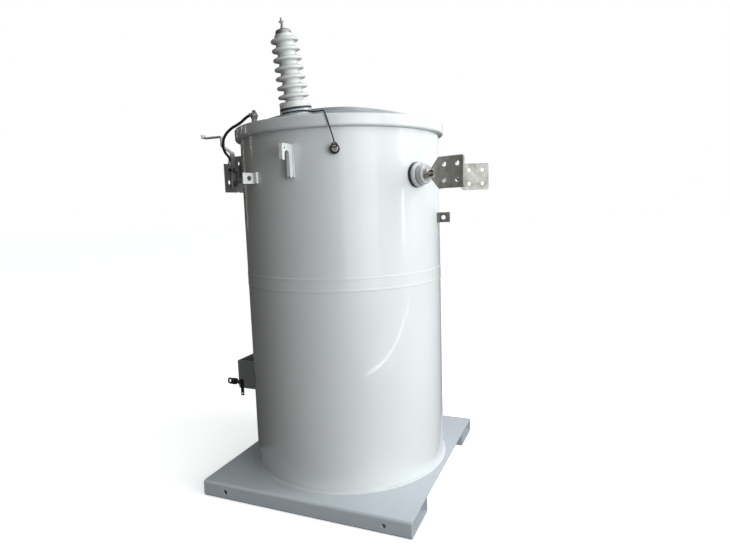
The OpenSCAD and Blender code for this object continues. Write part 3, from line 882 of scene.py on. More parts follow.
@shared_tree("stud thread")
def thread_tree(name):
    """Puts the ridges of a thread along the edges of a mesh."""
    tree, given, out = geometry_tree(
        name, [("Radius", "Float", 0.008), ("Pitch", "Float", 0.0018), ("Metal", "Material", None)]
    )
    points, turn = spaced_points(tree, given, given["Pitch"], "Z")
    thick = math_node(tree, "MULTIPLY", given["Pitch"], RIDGE_SHARE)
    hoop = add_node(tree, "GeometryNodeCurvePrimitiveCircle", Resolution=36, Radius=given["Radius"])
    ridge = add_node(tree, "GeometryNodeCurvePrimitiveCircle", Resolution=6, Radius=thick)
    swept = add_node(
        tree, "GeometryNodeCurveToMesh", Curve=hoop.outputs["Curve"], Profile_Curve=ridge.outputs["Curve"]
    )
    placed = add_node(
        tree, "GeometryNodeInstanceOnPoints", Points=points, Instance=swept.outputs["Mesh"], Rotation=turn
    )
    return end_tree(tree, placed.outputs[0], given["Metal"], out)


def threads(name, start, end, radius, pitch, material):
    """Ridges of a thread from start to end."""
    blank = paths_object(name, [[Vector(start), Vector(end)]])
    return run_tree(blank, thread_tree(), radius=radius - pitch * RIDGE_SHARE, pitch=pitch, metal=material)


@shared_tree("shed stack")
def shed_stack_tree(name):
    """Turns a grid into a porcelain body: a footed core with sheds at an even pitch."""
    tree, given, out = geometry_tree(
        name,
        [
            ("Height", "Float", 0.213),
            ("Foot Radius", "Float", 0.048),
            ("Foot Height", "Float", 0.019),
            ("Core Radius", "Float", 0.028),
            ("First Shed", "Float", 0.036),
            ("Pitch", "Float", 0.027),
            ("Sheds", "Int", 7),
            ("Low Radius", "Float", 0.048),
            ("Top Radius", "Float", 0.042),
            ("Rows", "Int", 320),
            ("Glaze", "Material", None),
        ],
    )
    calc = partial(math_node, tree)

    def held(value, most):
        return calc("MINIMUM", calc("MAXIMUM", value, 0.0), most)

    rows = given["Rows"]
    grid = add_node(
        tree, "GeometryNodeMeshGrid", Size_X=1.0, Size_Y=1.0, Vertices_X=97, Vertices_Y=rows
    ).outputs["Mesh"]
    place = tree.nodes.new("GeometryNodeInputPosition").outputs[0]
    split = add_node(tree, "ShaderNodeSeparateXYZ", Vector=place).outputs
    angle = calc("MULTIPLY", calc("ADD", split[0], 0.5), 2 * math.pi)
    row = calc("ROUND", calc("MULTIPLY", calc("ADD", split[1], 0.5), calc("SUBTRACT", rows, 1.0)))
    share = held(calc("DIVIDE", calc("SUBTRACT", row, 1.0), calc("SUBTRACT", rows, 3.0)), 1.0)
    height = calc("MULTIPLY", share, given["Height"])
    last = calc("SUBTRACT", given["Sheds"], 1.0)
    along = calc("DIVIDE", calc("SUBTRACT", height, given["First Shed"]), given["Pitch"])
    index = held(calc("ROUND", along), last)
    lip = float_curve(
        tree,
        held(calc("ADD", calc("SUBTRACT", along, index), 0.5), 1.0),
        (
            (0.0, 0.0), (0.10, 0.0), (0.18, 0.03), (0.225, 0.14), (0.25, 0.52), (0.28, 0.84), (0.33, 0.96),
            (0.42, 1.0), (0.51, 0.98), (0.58, 0.88), (0.66, 0.58), (0.74, 0.26), (0.84, 0.06), (1.0, 0.0),
        ),
    )
    shrink = calc("SUBTRACT", given["Top Radius"], given["Low Radius"])
    shed_r = calc("ADD", given["Low Radius"], calc("MULTIPLY", shrink, calc("DIVIDE", index, last)))
    core = given["Core Radius"]
    body = calc("ADD", core, calc("MULTIPLY", calc("SUBTRACT", shed_r, core), lip))
    foot = float_curve(
        tree,
        calc("DIVIDE", height, calc("MULTIPLY", given["Foot Height"], 1.2)),
        ((0.0, 0.97), (0.03, 1.0), (0.66, 1.0), (0.76, 0.93), (0.83, 0.6), (0.9, 0.16), (1.0, 0.0)),
    )
    foot_stand = calc("MULTIPLY", calc("SUBTRACT", given["Foot Radius"], core), foot)
    radius = calc("MAXIMUM", body, calc("ADD", core, foot_stand))
    below_end = calc("LESS_THAN", row, calc("SUBTRACT", rows, 1.5))
    radius = calc("MULTIPLY", radius, calc("MULTIPLY", calc("GREATER_THAN", row, 0.5), below_end))
    x, y = (calc("MULTIPLY", radius, calc(part, angle)) for part in ("COSINE", "SINE"))
    point = add_node(tree, "ShaderNodeCombineXYZ", X=x, Y=y, Z=height).outputs[0]
    moved = add_node(tree, "GeometryNodeSetPosition", Geometry=grid, Position=point).outputs[0]
    closed = add_node(tree, "GeometryNodeMergeByDistance", Geometry=moved, Distance=WELDED)
    return end_tree(tree, closed.outputs[0], given["Glaze"], out)


# ---------------------------------------------------------------------------
# Pieces
# ---------------------------------------------------------------------------

LEAD_ROUTE = [
    (-0.243, -0.156, 1.2045), (-0.258, -0.152, 1.2009), (-0.274, -0.147, 1.195), (-0.292, -0.140, 1.188),
    (-0.314, -0.133, 1.182), (-0.336, -0.126, 1.177), (-0.357, -0.118, 1.170), (-0.377, -0.109, 1.161),
    (-0.394, -0.099, 1.150), (-0.407, -0.089, 1.137), (-0.415, -0.079, 1.123), (-0.417, -0.070, 1.110),
    (-0.415, -0.062, 1.099), (-0.411, -0.056, 1.091), (-0.409, -0.054, 1.082), (-0.409, -0.054, 1.074),
]
WIRE_ROUTE = [
    (0.132, -0.319, 1.077), (0.1285, -0.3203, 1.091), (0.1245, -0.3217, 1.106), (0.1205, -0.3232, 1.121),
    (0.1165, -0.3246, 1.136), (0.1125, -0.3258, 1.149), (0.1075, -0.324, 1.158), (0.0985, -0.314, 1.163),
    (0.084, -0.300, 1.165), (0.064, -0.284, 1.168), (0.040, -0.266, 1.1735), (0.016, -0.248, 1.1805),
    (-0.008, -0.232, 1.1855), (-0.030, -0.221, 1.188), (-0.052, -0.213, 1.1892), (-0.072, -0.2095, 1.189),
    (-0.092, -0.2065, 1.1875),
]
GASKET_HALF = 3 * MM
BUSHING_LEAN = 8.5
DOME_RISE = 68 * MM
VALVE_AZIMUTH = 22.5
VALVE_Z = 1.059
HANGER_ARM_HALF = 18 * MM
HANGER_ARM_SPANS = ((1.000, 1.017), (1.074, 1.095))
BRACKET_BOLT_HEIGHTS = (0.996, 1.046)
LEAD_BOLT_YZ = (-0.054, 1.045)
SPADE_SCREW_REACH = 0.390


class TRANSFORMER_OT_cords(Operator):
    """Adds the bonding lead and the relief valve's wire"""

    bl_idname = "transformer.cords"
    bl_label = "Cords"

    def execute(self, context):
        sizes = settings("cord")
        jacket = dark_rubber("lead jacket", (0.02, 0.02, 0.021), rough=0.38)
        wire_metal = metal("twisted wire", (0.07, 0.068, 0.062), rough=0.45, tarnish=0.6)
        for name, route, across, slot, node, finish, strands in (
            ("bonding_lead_cable", LEAD_ROUTE, sizes.lead_diameter, "lead_jacket", "bonding_lead", jacket, 0),
            ("relief_wire_twist", WIRE_ROUTE, sizes.wire_diameter, "wire_steel", "relief_wire", wire_metal, 2),
        ):
            path = smooth_route(route, 14 if strands else 8)
            piece = tube(name, path, across / 2, finish, strands=strands, twist=900.0, depth=0.35)
            finished(piece, slot, node)
        return {"FINISHED"}


class TRANSFORMER_OT_tank(Operator):
    """Adds the tank wall, its seam band and its flange"""

    bl_idname = "transformer.tank"
    bl_label = "Tank"

    def execute(self, context):
        paint = tank_paint()
        lower = turned(
            "tank_wall_lower",
            [(0, TANK_FOOT_Z, 0), (TANK_R, TANK_FOOT_Z, 0.002), (TANK_R, SEAM_Z, 0), (0, SEAM_Z, 0)],
            sides=256,
            material=paint,
        )
        finished(lower, "tank_paint", "tank_lower")
        flange_r = high("tank_upper").x
        flange_z = TANK_TOP - 5 * MM
        upper = turned(
            "tank_wall_upper",
            [
                (0, SEAM_Z, 0), (TANK_R, SEAM_Z, 0), (TANK_R, flange_z, 0.003), (flange_r, flange_z, 0.001),
                (flange_r, TANK_TOP, 0.001), (0, TANK_TOP, 0),
            ],
            sides=256,
            material=paint,
        )
        finished(upper, "tank_paint", "tank_upper")
        z0, z1 = low("tank_band").z, high("tank_band").z
        out_r = high("tank_band").x
        lift = (out_r - TANK_R) * 0.3
        band = turned(
            "seam_band",
            [
                (TANK_R - 0.002, z0 - 0.001, 0), (TANK_R + 0.0004, z0, 0), (TANK_R + lift, z0 + 0.0003, 0.0006),
                (TANK_R + lift, z0 + 0.006, 0.001), (TANK_R + lift * 0.7, z0 + 0.008, 0.001),
                (TANK_R + lift * 0.7, z1 - 0.008, 0.001), (TANK_R + lift, z1 - 0.006, 0.001),
                (TANK_R + lift, z1 - 0.0003, 0.0006), (TANK_R + 0.0004, z1, 0), (TANK_R - 0.002, z1 + 0.001, 0),
            ],
            sides=256,
            ring=True,
            material=paint,
            sharp=50,
        )
        finished(band, "tank_paint", "tank_band")
        return {"FINISHED"}


class TRANSFORMER_OT_base(Operator):
    """Adds the folded base"""

    bl_idname = "transformer.base"
    bl_label = "Base"

    def execute(self, context):
        eased_piece("folded_base", "base_pan", 0.0007, base_paint(), "base_paint")
        return {"FINISHED"}


class TRANSFORMER_OT_welds(Operator):
    """Adds the weld beads"""

    bl_idname = "transformer.welds"
    bl_label = "Weld beads"

    def execute(self, context):
        sizes = settings("weld")
        width = sizes.foot_width
        turns = 240
        foot_r = TANK_R + width * 0.18
        foot_z = TANK_FOOT_Z + width * 0.18
        circle = [
            Vector((foot_r * math.cos(2 * math.pi * k / turns), foot_r * math.sin(2 * math.pi * k / turns), foot_z))
            for k in range(turns + 1)
        ]
        bead = weld_beads("foot_weld_bead", [circle], width, weld_paint(), 5)
        leg = high("foot_weld").x - TANK_R
        fillet = turned(
            "foot_weld_fillet",
            [
                (TANK_R - 0.002, TANK_FOOT_Z - 0.002, 0), (TANK_R + leg, TANK_FOOT_Z - 0.002, 0),
                (TANK_R + leg, TANK_FOOT_Z + 0.0006, 0), (TANK_R + leg * 0.42, TANK_FOOT_Z + leg * 0.42, 0.01),
                (TANK_R + 0.0006, TANK_FOOT_Z + leg, 0), (TANK_R - 0.002, TANK_FOOT_Z + leg, 0),
            ],
            sides=256,
            ring=True,
            material=weld_paint(),
        )
        finished(joined("foot_weld_bead", [bead, fillet]), "tank_paint", "foot_weld")

        width = sizes.fitting_width
        paths = []
        for side in (-1, 1):
            lug = "lifting_lug_left" if side < 0 else "lifting_lug_right"
            half = (high(lug).x - low(lug).x) / 2 + width * 0.15
            reach = math.sqrt(TANK_R**2 - half**2) + width * 0.15
            z0, z1 = low(lug).z + 0.004, high(lug).z - 0.002
            for x in (-half, half):
                paths.append([Vector((x, side * reach, z)) for z in (z0, (z0 + z1) / 2, z1)])
        z0 = low("lower_hanger").z + 0.003
        z1 = high("lower_hanger").z - 0.003
        half = high("lower_hanger").y + width * 0.1
        for y in (-half, half):
            paths.append([on_wall(y, z, width * 0.15) for z in (z0, (z0 + z1) / 2, z1)])
        for z0, z1 in HANGER_ARM_SPANS:
            for y in (-HANGER_ARM_HALF - width * 0.1, HANGER_ARM_HALF + width * 0.1):
                paths.append([on_wall(y, z, width * 0.15) for z in (z0, (z0 + z1) / 2, z1)])
        finished(weld_beads("fitting_welds", paths, width, tank_paint(), 9), "tank_paint")
        return {"FINISHED"}


class TRANSFORMER_OT_cover(Operator):
    """Adds the domed cover and the clamp band"""

    bl_idname = "transformer.cover"
    bl_label = "Cover and clamp band"

    def execute(self, context):
        paint = cover_paint()
        dome_r = TANK_R + 2 * MM
        edge_z = high("clamp_band").z - 5 * MM
        seat = middle("hv_gasket")
        rise = DOME_RISE
        ball = (dome_r**2 + rise**2) / (2 * rise)
        ball_z = edge_z + rise - ball
        outline = [(0, TANK_TOP, 0), (TANK_R + 6 * MM, TANK_TOP, 0.001), (TANK_R + 6 * MM, TANK_TOP + 8 * MM, 0.001)]
        outline += [(dome_r, TANK_TOP + 8 * MM, 0.001), (dome_r, edge_z, 0.004)]
        arcs = 40
        for k in range(1, arcs + 1):
            r = dome_r * (1 - k / arcs)
            outline.append((r, ball_z + math.sqrt(ball**2 - r**2), 0))
        dome = turned("domed_cover", outline, sides=256, material=paint)
        lean = bushing_frame().to_3x3() @ UP
        foot = seat - lean * GASKET_HALF
        boss_r = 50.5 * MM
        boss = turned(
            "bushing_seat",
            [
                (0, -0.016, 0), (boss_r + 0.002, -0.016, 0), (boss_r, -0.006, 0.004),
                (boss_r - 0.001, 0, 0.0015), (0, 0, 0),
            ],
            place=axis_frame(foot, lean),
            sides=128,
            material=paint,
        )
        finished(joined("domed_cover", [dome, boss]), "cover_paint", "cover")

        z0, z1 = low("clamp_band").z, high("clamp_band").z
        out_r = high("clamp_band").x
        inner = TANK_R + 0.4 * MM
        groove_r = TANK_R + 6.4 * MM
        roll = 10 * MM
        channel = turned(
            "clamp_channel",
            [
                (inner, z0, 0.001), (out_r, z0, roll), (out_r, z1, roll), (TANK_R + 3.2 * MM, z1, 0.001),
                (TANK_R + 3.2 * MM, TANK_TOP + 9 * MM, 0), (groove_r, TANK_TOP + 9 * MM, 0),
                (groove_r, TANK_TOP - 6 * MM, 0), (inner, TANK_TOP - 6 * MM, 0),
            ],
            steps=10,
            sides=256,
            ring=True,
            material=tank_paint(),
        )
        finished(channel, "tank_paint", "clamp_band")

        split = middle("clamp_bolt")
        across = Vector((-split.y, split.x, 0)).normalized()
        outward = Vector((split.x, split.y, 0)).normalized()
        centre = Vector((outward.x, outward.y, 0)) * (TANK_R + 16.3 * MM + 14 * MM)
        centre.z = split.z
        place = axis_frame(centre, across)

        def ears(shape):
            for s in (-1, 1):
                made = bmesh.ops.create_cube(shape, size=1.0)["verts"]
                size = Matrix.Diagonal((0.024, 0.026, 0.006, 1))
                move = Matrix.Translation((0, -0.001, s * 0.010))
                bmesh.ops.transform(shape, matrix=place @ move @ size, verts=made)

        def nuts(shape):
            round_bar(shape, 0.0047, -0.028, 0.028, place)
            hex_outline(shape, 0.017, 0.008, raised(place, 0.013))
            hex_outline(
                shape, 0.017, 0.008, place @ Matrix.Rotation(math.pi, 4, "X") @ Matrix.Translation((0, 0, 0.013)),
            )

        bolt = solid("clamp_draw_bolt", zinc(), (ears,), (nuts,))
        ease = bolt.modifiers.new("ease", "BEVEL")
        ease.width = 0.0005
        ease.segments = 2
        ease.limit_method = "ANGLE"
        ease.angle_limit = math.radians(50)
        bolt = settled(bolt)
        ridges = threads("clamp_bolt_thread", centre - across * 0.027, centre + across * 0.027, 0.005, 0.0016, zinc())
        finished(joined("clamp_draw_bolt", [bolt, ridges]), "zinc_steel", "clamp_bolt")
        return {"FINISHED"}


def bushing_frame():
    """Frame of the high-voltage bushing: origin at the gasket's middle, +Z along its lean."""
    seat = middle("hv_gasket")
    outward = Vector((seat.x, seat.y, 0)).normalized()
    lean = math.radians(BUSHING_LEAN)
    return axis_frame(seat, outward * math.sin(lean) + UP * math.cos(lean), across=outward)


class TRANSFORMER_OT_high_bushing(Operator):
    """Adds the high-voltage bushing with its gasket, sheds, cap and terminal"""

    bl_idname = "transformer.high_bushing"
    bl_label = "High-voltage bushing"

    def execute(self, context):
        sizes = settings("porcelain")
        place = bushing_frame()
        half = GASKET_HALF
        gasket_r = 49.5 * MM
        gasket = turned(
            "bushing_gasket",
            [(0, -half - 0.003, 0), (gasket_r, -half - 0.003, 0.0012), (gasket_r, half, 0.0012), (0, half, 0)],
            place=place,
            material=gasket_rubber(),
        )
        finished(gasket, "gasket_rubber", "hv_gasket")
        height = sizes.first_shed + (sizes.sheds - 1) * sizes.shed_pitch + 15 * MM
        seat = raised(place, half)
        blank = object_from("shed_stack", bmesh.new())
        body = run_tree(
            blank,
            shed_stack_tree(),
            height=height,
            foot_radius=0.048,
            foot_height=0.019,
            core_radius=sizes.core_radius,
            first_shed=sizes.first_shed,
            pitch=sizes.shed_pitch,
            sheds=sizes.sheds,
            low_radius=sizes.low_radius,
            top_radius=sizes.top_radius,
            rows=320,
            glaze=glaze(),
        )
        body.data.transform(seat)
        body.data.update()
        finished(body, "porcelain", "hv_porcelain")

        top = raised(seat, height)
        cap = turned(
            "bushing_cap",
            [
                (0, 0, 0), (0.024, 0, 0.0008), (0.024, 0.0045, 0.0008), (0.0228, 0.0055, 0.0004),
                (0.024, 0.0065, 0.0008), (0.024, 0.0095, 0.001), (0.0192, 0.015, 0.002), (0, 0.015, 0),
            ],
            place=top,
            material=zinc(),
        )
        finished(cap, "zinc_steel", "hv_cap")

        crown = raised(top, 0.015) @ Matrix.Rotation(math.radians(50), 4, "Z")
        loop_down = crown.to_3x3() @ Vector((0.1, 0, -1))
        loop_place = crown @ Matrix.Translation((0.0105, 0, 0.020)) @ Matrix.Rotation(math.radians(50), 4, "Z")
        eye_place = raised(crown, 0.022) @ Matrix.Rotation(math.pi / 2, 4, "X")
        eye = solid(
            "line_terminal",
            zinc(),
            (round_bar, 0.005, 0.0, 0.013, crown),
            (hex_outline, 0.015, 0.005, crown),
            (ring_bar, 0.009, 0.003, eye_place),
            (ring_bar, 0.0065, 0.0017, loop_place),
            (round_bar, 0.0017, 0.0, 0.010, axis_frame(loop_place @ Vector((0, 0, 0)), loop_down)),
        )
        finished(eye, "tinned_bronze", "hv_terminal")
        screw_place = crown @ Matrix.Translation((0.0152, 0, 0))
        screw = solid(
            "line_terminal_screw",
            zinc(),
            (round_bar, 0.0021, 0.0, 0.022, screw_place),
            (round_bar, 0.004, 0.0, 0.003, screw_place),
            (hex_outline, 0.008, 0.005, raised(screw_place, 0.015)),
        )
        base, tip = screw_place @ Vector((0, 0, 0.003)), screw_place @ Vector((0, 0, 0.0215))
        ridges = threads("terminal_thread", base, tip, 0.0025, 0.0009, zinc())
        finished(joined("line_terminal_screw", [screw, ridges]), "tinned_bronze", "hv_terminal_screw")
        return {"FINISHED"}


def low_bushing_frame(side):
    """Frame of a low-voltage bushing: origin on the tank axis, +Z outward along its stud."""
    centre = middle("lv_stud_" + side)
    outward = Vector((centre.x, centre.y, 0)).normalized()
    return axis_frame((0, 0, centre.z), outward)


class TRANSFORMER_OT_low_bushings(Operator):
    """Adds the low-voltage bushings with their gaskets and studs"""

    bl_idname = "transformer.low_bushings"
    bl_label = "Low-voltage bushings"

    def execute(self, context):
        for side in ("left", "right"):
            place = low_bushing_frame(side)
            seat = TANK_R + 7 * MM
            gasket = turned(
                "low_gasket_" + side,
                [(0, TANK_R - 0.008, 0), (0.037, TANK_R - 0.008, 0), (0.037, seat, 0.0015), (0, seat, 0)],
                place=place,
                material=gasket_rubber(),
            )
            finished(gasket, "gasket_rubber", "lv_gasket_" + side)
            end = seat + 32 * MM
            # The low-voltage porcelain takes the darkened glaze as painted shade.
            porcelain = turned(
                "low_porcelain_" + side,
                [
                    (0, seat, 0), (0.036, seat, 0.002), (0.036, seat + 0.0085, 0.0025),
                    (0.0300, seat + 0.0095, 0.0015), (0.0272, seat + 0.0115, 0.001), (0.0272, seat + 0.0145, 0.001),
                    (0.0295, seat + 0.016, 0.0012), (0.0295, seat + 0.024, 0.0015), (0.0282, seat + 0.025, 0.0006),
                    (0.0292, seat + 0.026, 0.0008), (0.0280, end, 0.003), (0.018, end, 0.001),
                    (0.017, end - 0.001, 0), (0, end - 0.001, 0),
                ],
            steps=6,
                place=place,
                material=shaded_glaze(),
            )
            finished(porcelain, "porcelain", "lv_porcelain_" + side)
            neck = (middle("lv_stud_" + side) * 2).xy.length - end
            stud = solid(
                "low_stud_" + side,
                tinned(),
                (round_bar, 0.0074, end - 0.001, neck, place),
                (round_bar, 0.0195, end - 0.0005, end + 0.002, place),
                (hex_outline, 0.024, 0.0058, raised(place, end + 0.002)),
            )
            ridges = threads(
                "low_thread_" + side,
                place @ Vector((0, 0, end + 0.008)),
                place @ Vector((0, 0, neck - 0.001)),
                0.008,
                0.0018,
                tinned(),
            )
            finished(joined("low_stud_" + side, [stud, ridges]), "tinned_copper", "lv_stud_" + side)
        return {"FINISHED"}


class TRANSFORMER_OT_spades(Operator):
    """Adds the low-voltage spades"""

    bl_idname = "transformer.spades"
    bl_label = "Spades"

    def execute(self, context):
        for side in ("left", "right"):
            plate = eased_copy("spade_plate_" + side, "lv_spade_" + side, 0.0006, tinned(), limit=40)
            place = low_bushing_frame(side)
            screw_at = place @ Vector((0, 0, SPADE_SCREW_REACH))
            facing = place.to_3x3() @ Vector((0, 1, 0))
            if facing.y > 0:
                facing = -facing
            screw_place = axis_frame(screw_at + facing * 0.0115, facing)
            collar = solid(
                "spade_screw_collar_" + side, black_steel(), (round_bar, 0.0095, -0.004, 0.0035, screw_place)
            )
            screw = solid("spade_screw_" + side, zinc(), (hex_outline, 0.009, 0.0060, screw_place))
            plate = joined("spade_plate_" + side, [plate, collar])
            finished(joined("spade_plate_" + side, [plate, screw]), "tinned_copper", "lv_spade_" + side)
        return {"FINISHED"}


class TRANSFORMER_OT_lugs(Operator):
    """Adds the lifting lugs"""

    bl_idname = "transformer.lugs"
    bl_label = "Lifting lugs"

    def execute(self, context):
        for side in ("left", "right"):
            node = "lifting_lug_" + side
            eased_piece("lug_plate_" + side, node, 0.0009, tank_paint(), "tank_paint")
        return {"FINISHED"}


class TRANSFORMER_OT_hangers(Operator):
    """Adds the pole hangers"""

    bl_idname = "transformer.hangers"
    bl_label = "Pole hangers"

    def execute(self, context):
        for name, node in (("upper_hanger_plate", "upper_hanger"), ("lower_hanger_channel", "lower_hanger")):
            eased_piece(name, node, 0.0008, hanger_paint(), "hanger_paint")
        return {"FINISHED"}


def bent_strip(name, path, width, thickness, bend, centre_y, material, steps=6):
    """Flat bar bent along a path in the XZ plane, its width along Y."""
    line = [Vector((p[0], p[1])) for p in eased_outline([(x, z, bend) for x, z in path], steps)]
    shape = bmesh.new()
    rings = []
    ease = thickness * 0.16
    half_w, half_t = width / 2, thickness / 2
    section = [
        (-half_w, half_t - ease), (-half_w + ease, half_t), (half_w - ease, half_t), (half_w, half_t - ease),
        (half_w, ease - half_t), (half_w - ease, -half_t), (ease - half_w, -half_t), (-half_w, ease - half_t),
    ]
    for i, point in enumerate(line):
        back = (point - line[i - 1]).normalized() if i else (line[1] - line[0]).normalized()
        on = (line[i + 1] - point).normalized() if i < len(line) - 1 else back
        along = (back + on).normalized()
        normal = Vector((-along.y, along.x)) / max(0.5, along.dot(back))
        rings.append(
            [shape.verts.new((point.x + normal.x * t, centre_y + w, point.y + normal.y * t)) for w, t in section]
        )
    skin(shape, rings, capped=True)
    bmesh.ops.recalc_face_normals(shape, faces=shape.faces)
    return crisp(object_from(name, shape, material, sharp=50))


class TRANSFORMER_OT_bracket(Operator):
    """Adds the arrester bracket and its bolts"""

    bl_idname = "transformer.bracket"
    bl_label = "Arrester bracket"

    def execute(self, context):
        lo, hi = low("arrester_bracket"), high("arrester_bracket")
        thick = 5 * MM
        wall_x = hi.x - thick / 2
        neck_x = hi.x - thick / 2 - 0.039
        knee_z = lo.z + 0.1245
        neck_z = knee_z + 0.0265
        arm_z = hi.z - 0.0115
        path = [
            (wall_x, lo.z), (wall_x, knee_z), (neck_x, neck_z), (neck_x, arm_z),
            (lo.x + thick / 2, arm_z), (lo.x + thick / 2, hi.z),
        ]
        bar = bent_strip("arrester_bar", path, hi.y - lo.y, thick, 0.005, (lo.y + hi.y) / 2, galvanised())
        finished(bar, "zinc_steel", "arrester_bracket")
        centre_y = (lo.y + hi.y) / 2
        makers = []
        for z in BRACKET_BOLT_HEIGHTS:
            at = axis_frame((hi.x, centre_y, z), (1, 0, 0))
            makers.append((round_bar, 0.010, 0.0, 0.002, at))
            makers.append((hex_outline, 0.016, 0.0068, raised(at, 0.002)))
        bar_bolts = solid("bracket_bolt_heads", dull_plate(), *makers)
        lug_bolt = axis_frame((hi.x - thick, *LEAD_BOLT_YZ), (1, 0, 0))
        lead_bolt = solid(
            "lead_bolt",
            black_steel(),
            (round_bar, 0.0041, 0.0, 0.005, lug_bolt),
            (hex_outline, 0.012, 0.0058, raised(lug_bolt, 0.003)),
        )
        finished(joined("bracket_bolt_heads", [bar_bolts, lead_bolt]), "black_steel", "bracket_bolts")
        return {"FINISHED"}


class TRANSFORMER_OT_tabs(Operator):
    """Adds the bent tabs"""

    bl_idname = "transformer.tabs"
    bl_label = "Tabs"

    def execute(self, context):
        eased_piece("neutral_tab_strip", "neutral_tab", 0.0007, bright_plate(), "bright_steel")
        eased_piece("ground_tab_strip", "ground_tab", 0.0007, dull_plate(), "bright_steel")
        return {"FINISHED"}


class TRANSFORMER_OT_ground_fittings(Operator):
    """Adds the ground connector, its bolt and its tag"""

    bl_idname = "transformer.ground_fittings"
    bl_label = "Ground fittings"

    def execute(self, context):
        eased_piece("ground_clamp", "ground_connector", 0.0006, dull_bronze(), "bronze", limit=40)
        eased_piece("tag_strip", "connector_tag", 0.0003, black_steel(), "zinc_steel")
        bolt = middle("tag_bolt")
        face_y = high("tag_bolt").y
        at = axis_frame((bolt.x, face_y, bolt.z), (0, -1, 0))
        head = solid(
            "tag_bolt_head",
            dull_bronze(),
            (round_bar, 0.0045, 0.0, 0.0035, at),
            (round_bar, 0.009, 0.0015, 0.0035, at, 0.0004),
            (hex_outline, 0.014, 0.0064, raised(at, 0.0035)),
        )
        finished(head, "zinc_steel", "tag_bolt")
        return {"FINISHED"}


class TRANSFORMER_OT_relief_valve(Operator):
    """Adds the relief valve and its pull ring"""

    bl_idname = "transformer.relief_valve"
    bl_label = "Relief valve"

    def execute(self, context):
        azimuth = math.radians(VALVE_AZIMUTH)
        outward = Vector((math.sin(azimuth), -math.cos(azimuth), 0))
        place = axis_frame((0, 0, VALVE_Z), outward)
        wall = TANK_R - 0.002
        collar = turned(
            "relief_valve_body",
            [
                (0, wall, 0), (0.0135, wall, 0), (0.0135, TANK_R + 0.004, 0.001), (0.0120, TANK_R + 0.005, 0.0005),
                (0.0138, TANK_R + 0.006, 0.001), (0.0138, TANK_R + 0.014, 0.0015), (0.0112, TANK_R + 0.0150, 0.0008),
                (0.0104, TANK_R + 0.0125, 0.0004), (0, TANK_R + 0.0125, 0),
            ],
            place=place,
            material=black_steel(),
        )
        plug = turned(
            "relief_valve_plug",
            [
                (0, TANK_R + 0.012, 0), (0.0098, TANK_R + 0.012, 0), (0.0098, TANK_R + 0.0185, 0.0012),
                (0.0055, TANK_R + 0.0200, 0.0008), (0.0048, TANK_R + 0.0175, 0.0005), (0, TANK_R + 0.0175, 0),
            ],
            place=place,
            material=metal("valve_plug", (0.50, 0.46, 0.42), rough=0.36, metallic=0.7),
        )
        finished(joined("relief_valve_body", [collar, plug]), "bronze", "relief_valve")
        ring = middle("relief_ring")
        ring_place = axis_frame(ring, outward)
        pull = solid("relief_pull_ring", black_steel(), (ring_bar, 0.007, 0.0015, ring_place))
        finished(pull, "zinc_steel", "relief_ring")
        return {"FINISHED"}


class TRANSFORMER_OT_lead_fittings(Operator):
    """Adds the cover stud and the lugs of the bonding lead"""

    bl_idname = "transformer.lead_fittings"
    bl_label = "Lead fittings"

    def execute(self, context):
        stud_top = high("cover_stud").z
        stud = middle("cover_stud")
        lug_z = stud_top - 0.018
        ground = Matrix.Translation((stud.x, stud.y, 0))
        foot = low("cover_stud").z
        boss = solid("cover_boss", hanger_paint(), (round_bar, 0.009, foot, lug_z - 0.008, ground, 0.001))
        nuts = solid(
            "cover_stud_nuts",
            dull_plate(),
            (round_bar, 0.0056, foot + 0.01, stud_top, ground),
            (hex_outline, 0.019, 0.0078, raised(ground, lug_z - 0.008)),
            (hex_outline, 0.017, 0.0078, raised(ground, lug_z + 0.003)),
        )
        ridges = threads(
            "cover_stud_thread",
            (stud.x, stud.y, lug_z + 0.011),
            (stud.x, stud.y, stud_top - 0.001),
            0.006,
            0.0018,
            dull_plate(),
        )
        finished(joined("cover_stud_nuts", [nuts, boss, ridges]), "zinc_steel", "cover_stud")
        for name, node in (("lead_lug_ring", "lead_lug_top"), ("lead_lug_palm", "lead_lug_foot")):
            eased_piece(name, node, 0.0003, tinned(), "tinned_copper", limit=45)
        return {"FINISHED"}


# ---------------------------------------------------------------------------
# Stage
# ---------------------------------------------------------------------------

CAMERA_PLACE = (0.7765, -1.6575, 0.8968)
CAMERA_TURN = (82.913, 1.922, 22.717)
SKY_STRENGTH = 1.25
FLOOR_GLOW = 0.55
FLOOR_BOUNCE = 0.14


def area_light(name, azimuth, height, distance, size_x, size_y, power, colour, aim=(0, 0, 0.7)):
    """Rectangular light round the tank; azimuth is measured from -Y towards +X."""
    a = math.radians(azimuth)
    light = bpy.data.lights.new(name, "AREA")
    light.shape = "RECTANGLE"
    light.size = size_x
    light.size_y = size_y
    light.energy = power
    light.color = colour
    lamp = bpy.data.objects.new(name, light)
    bpy.context.scene.collection.objects.link(lamp)
    lamp.location = (distance * math.sin(a), -distance * math.cos(a), height)
    lamp.rotation_euler = (Vector(aim) - lamp.location).to_track_quat("-Z", "Y").to_euler()
    return lamp


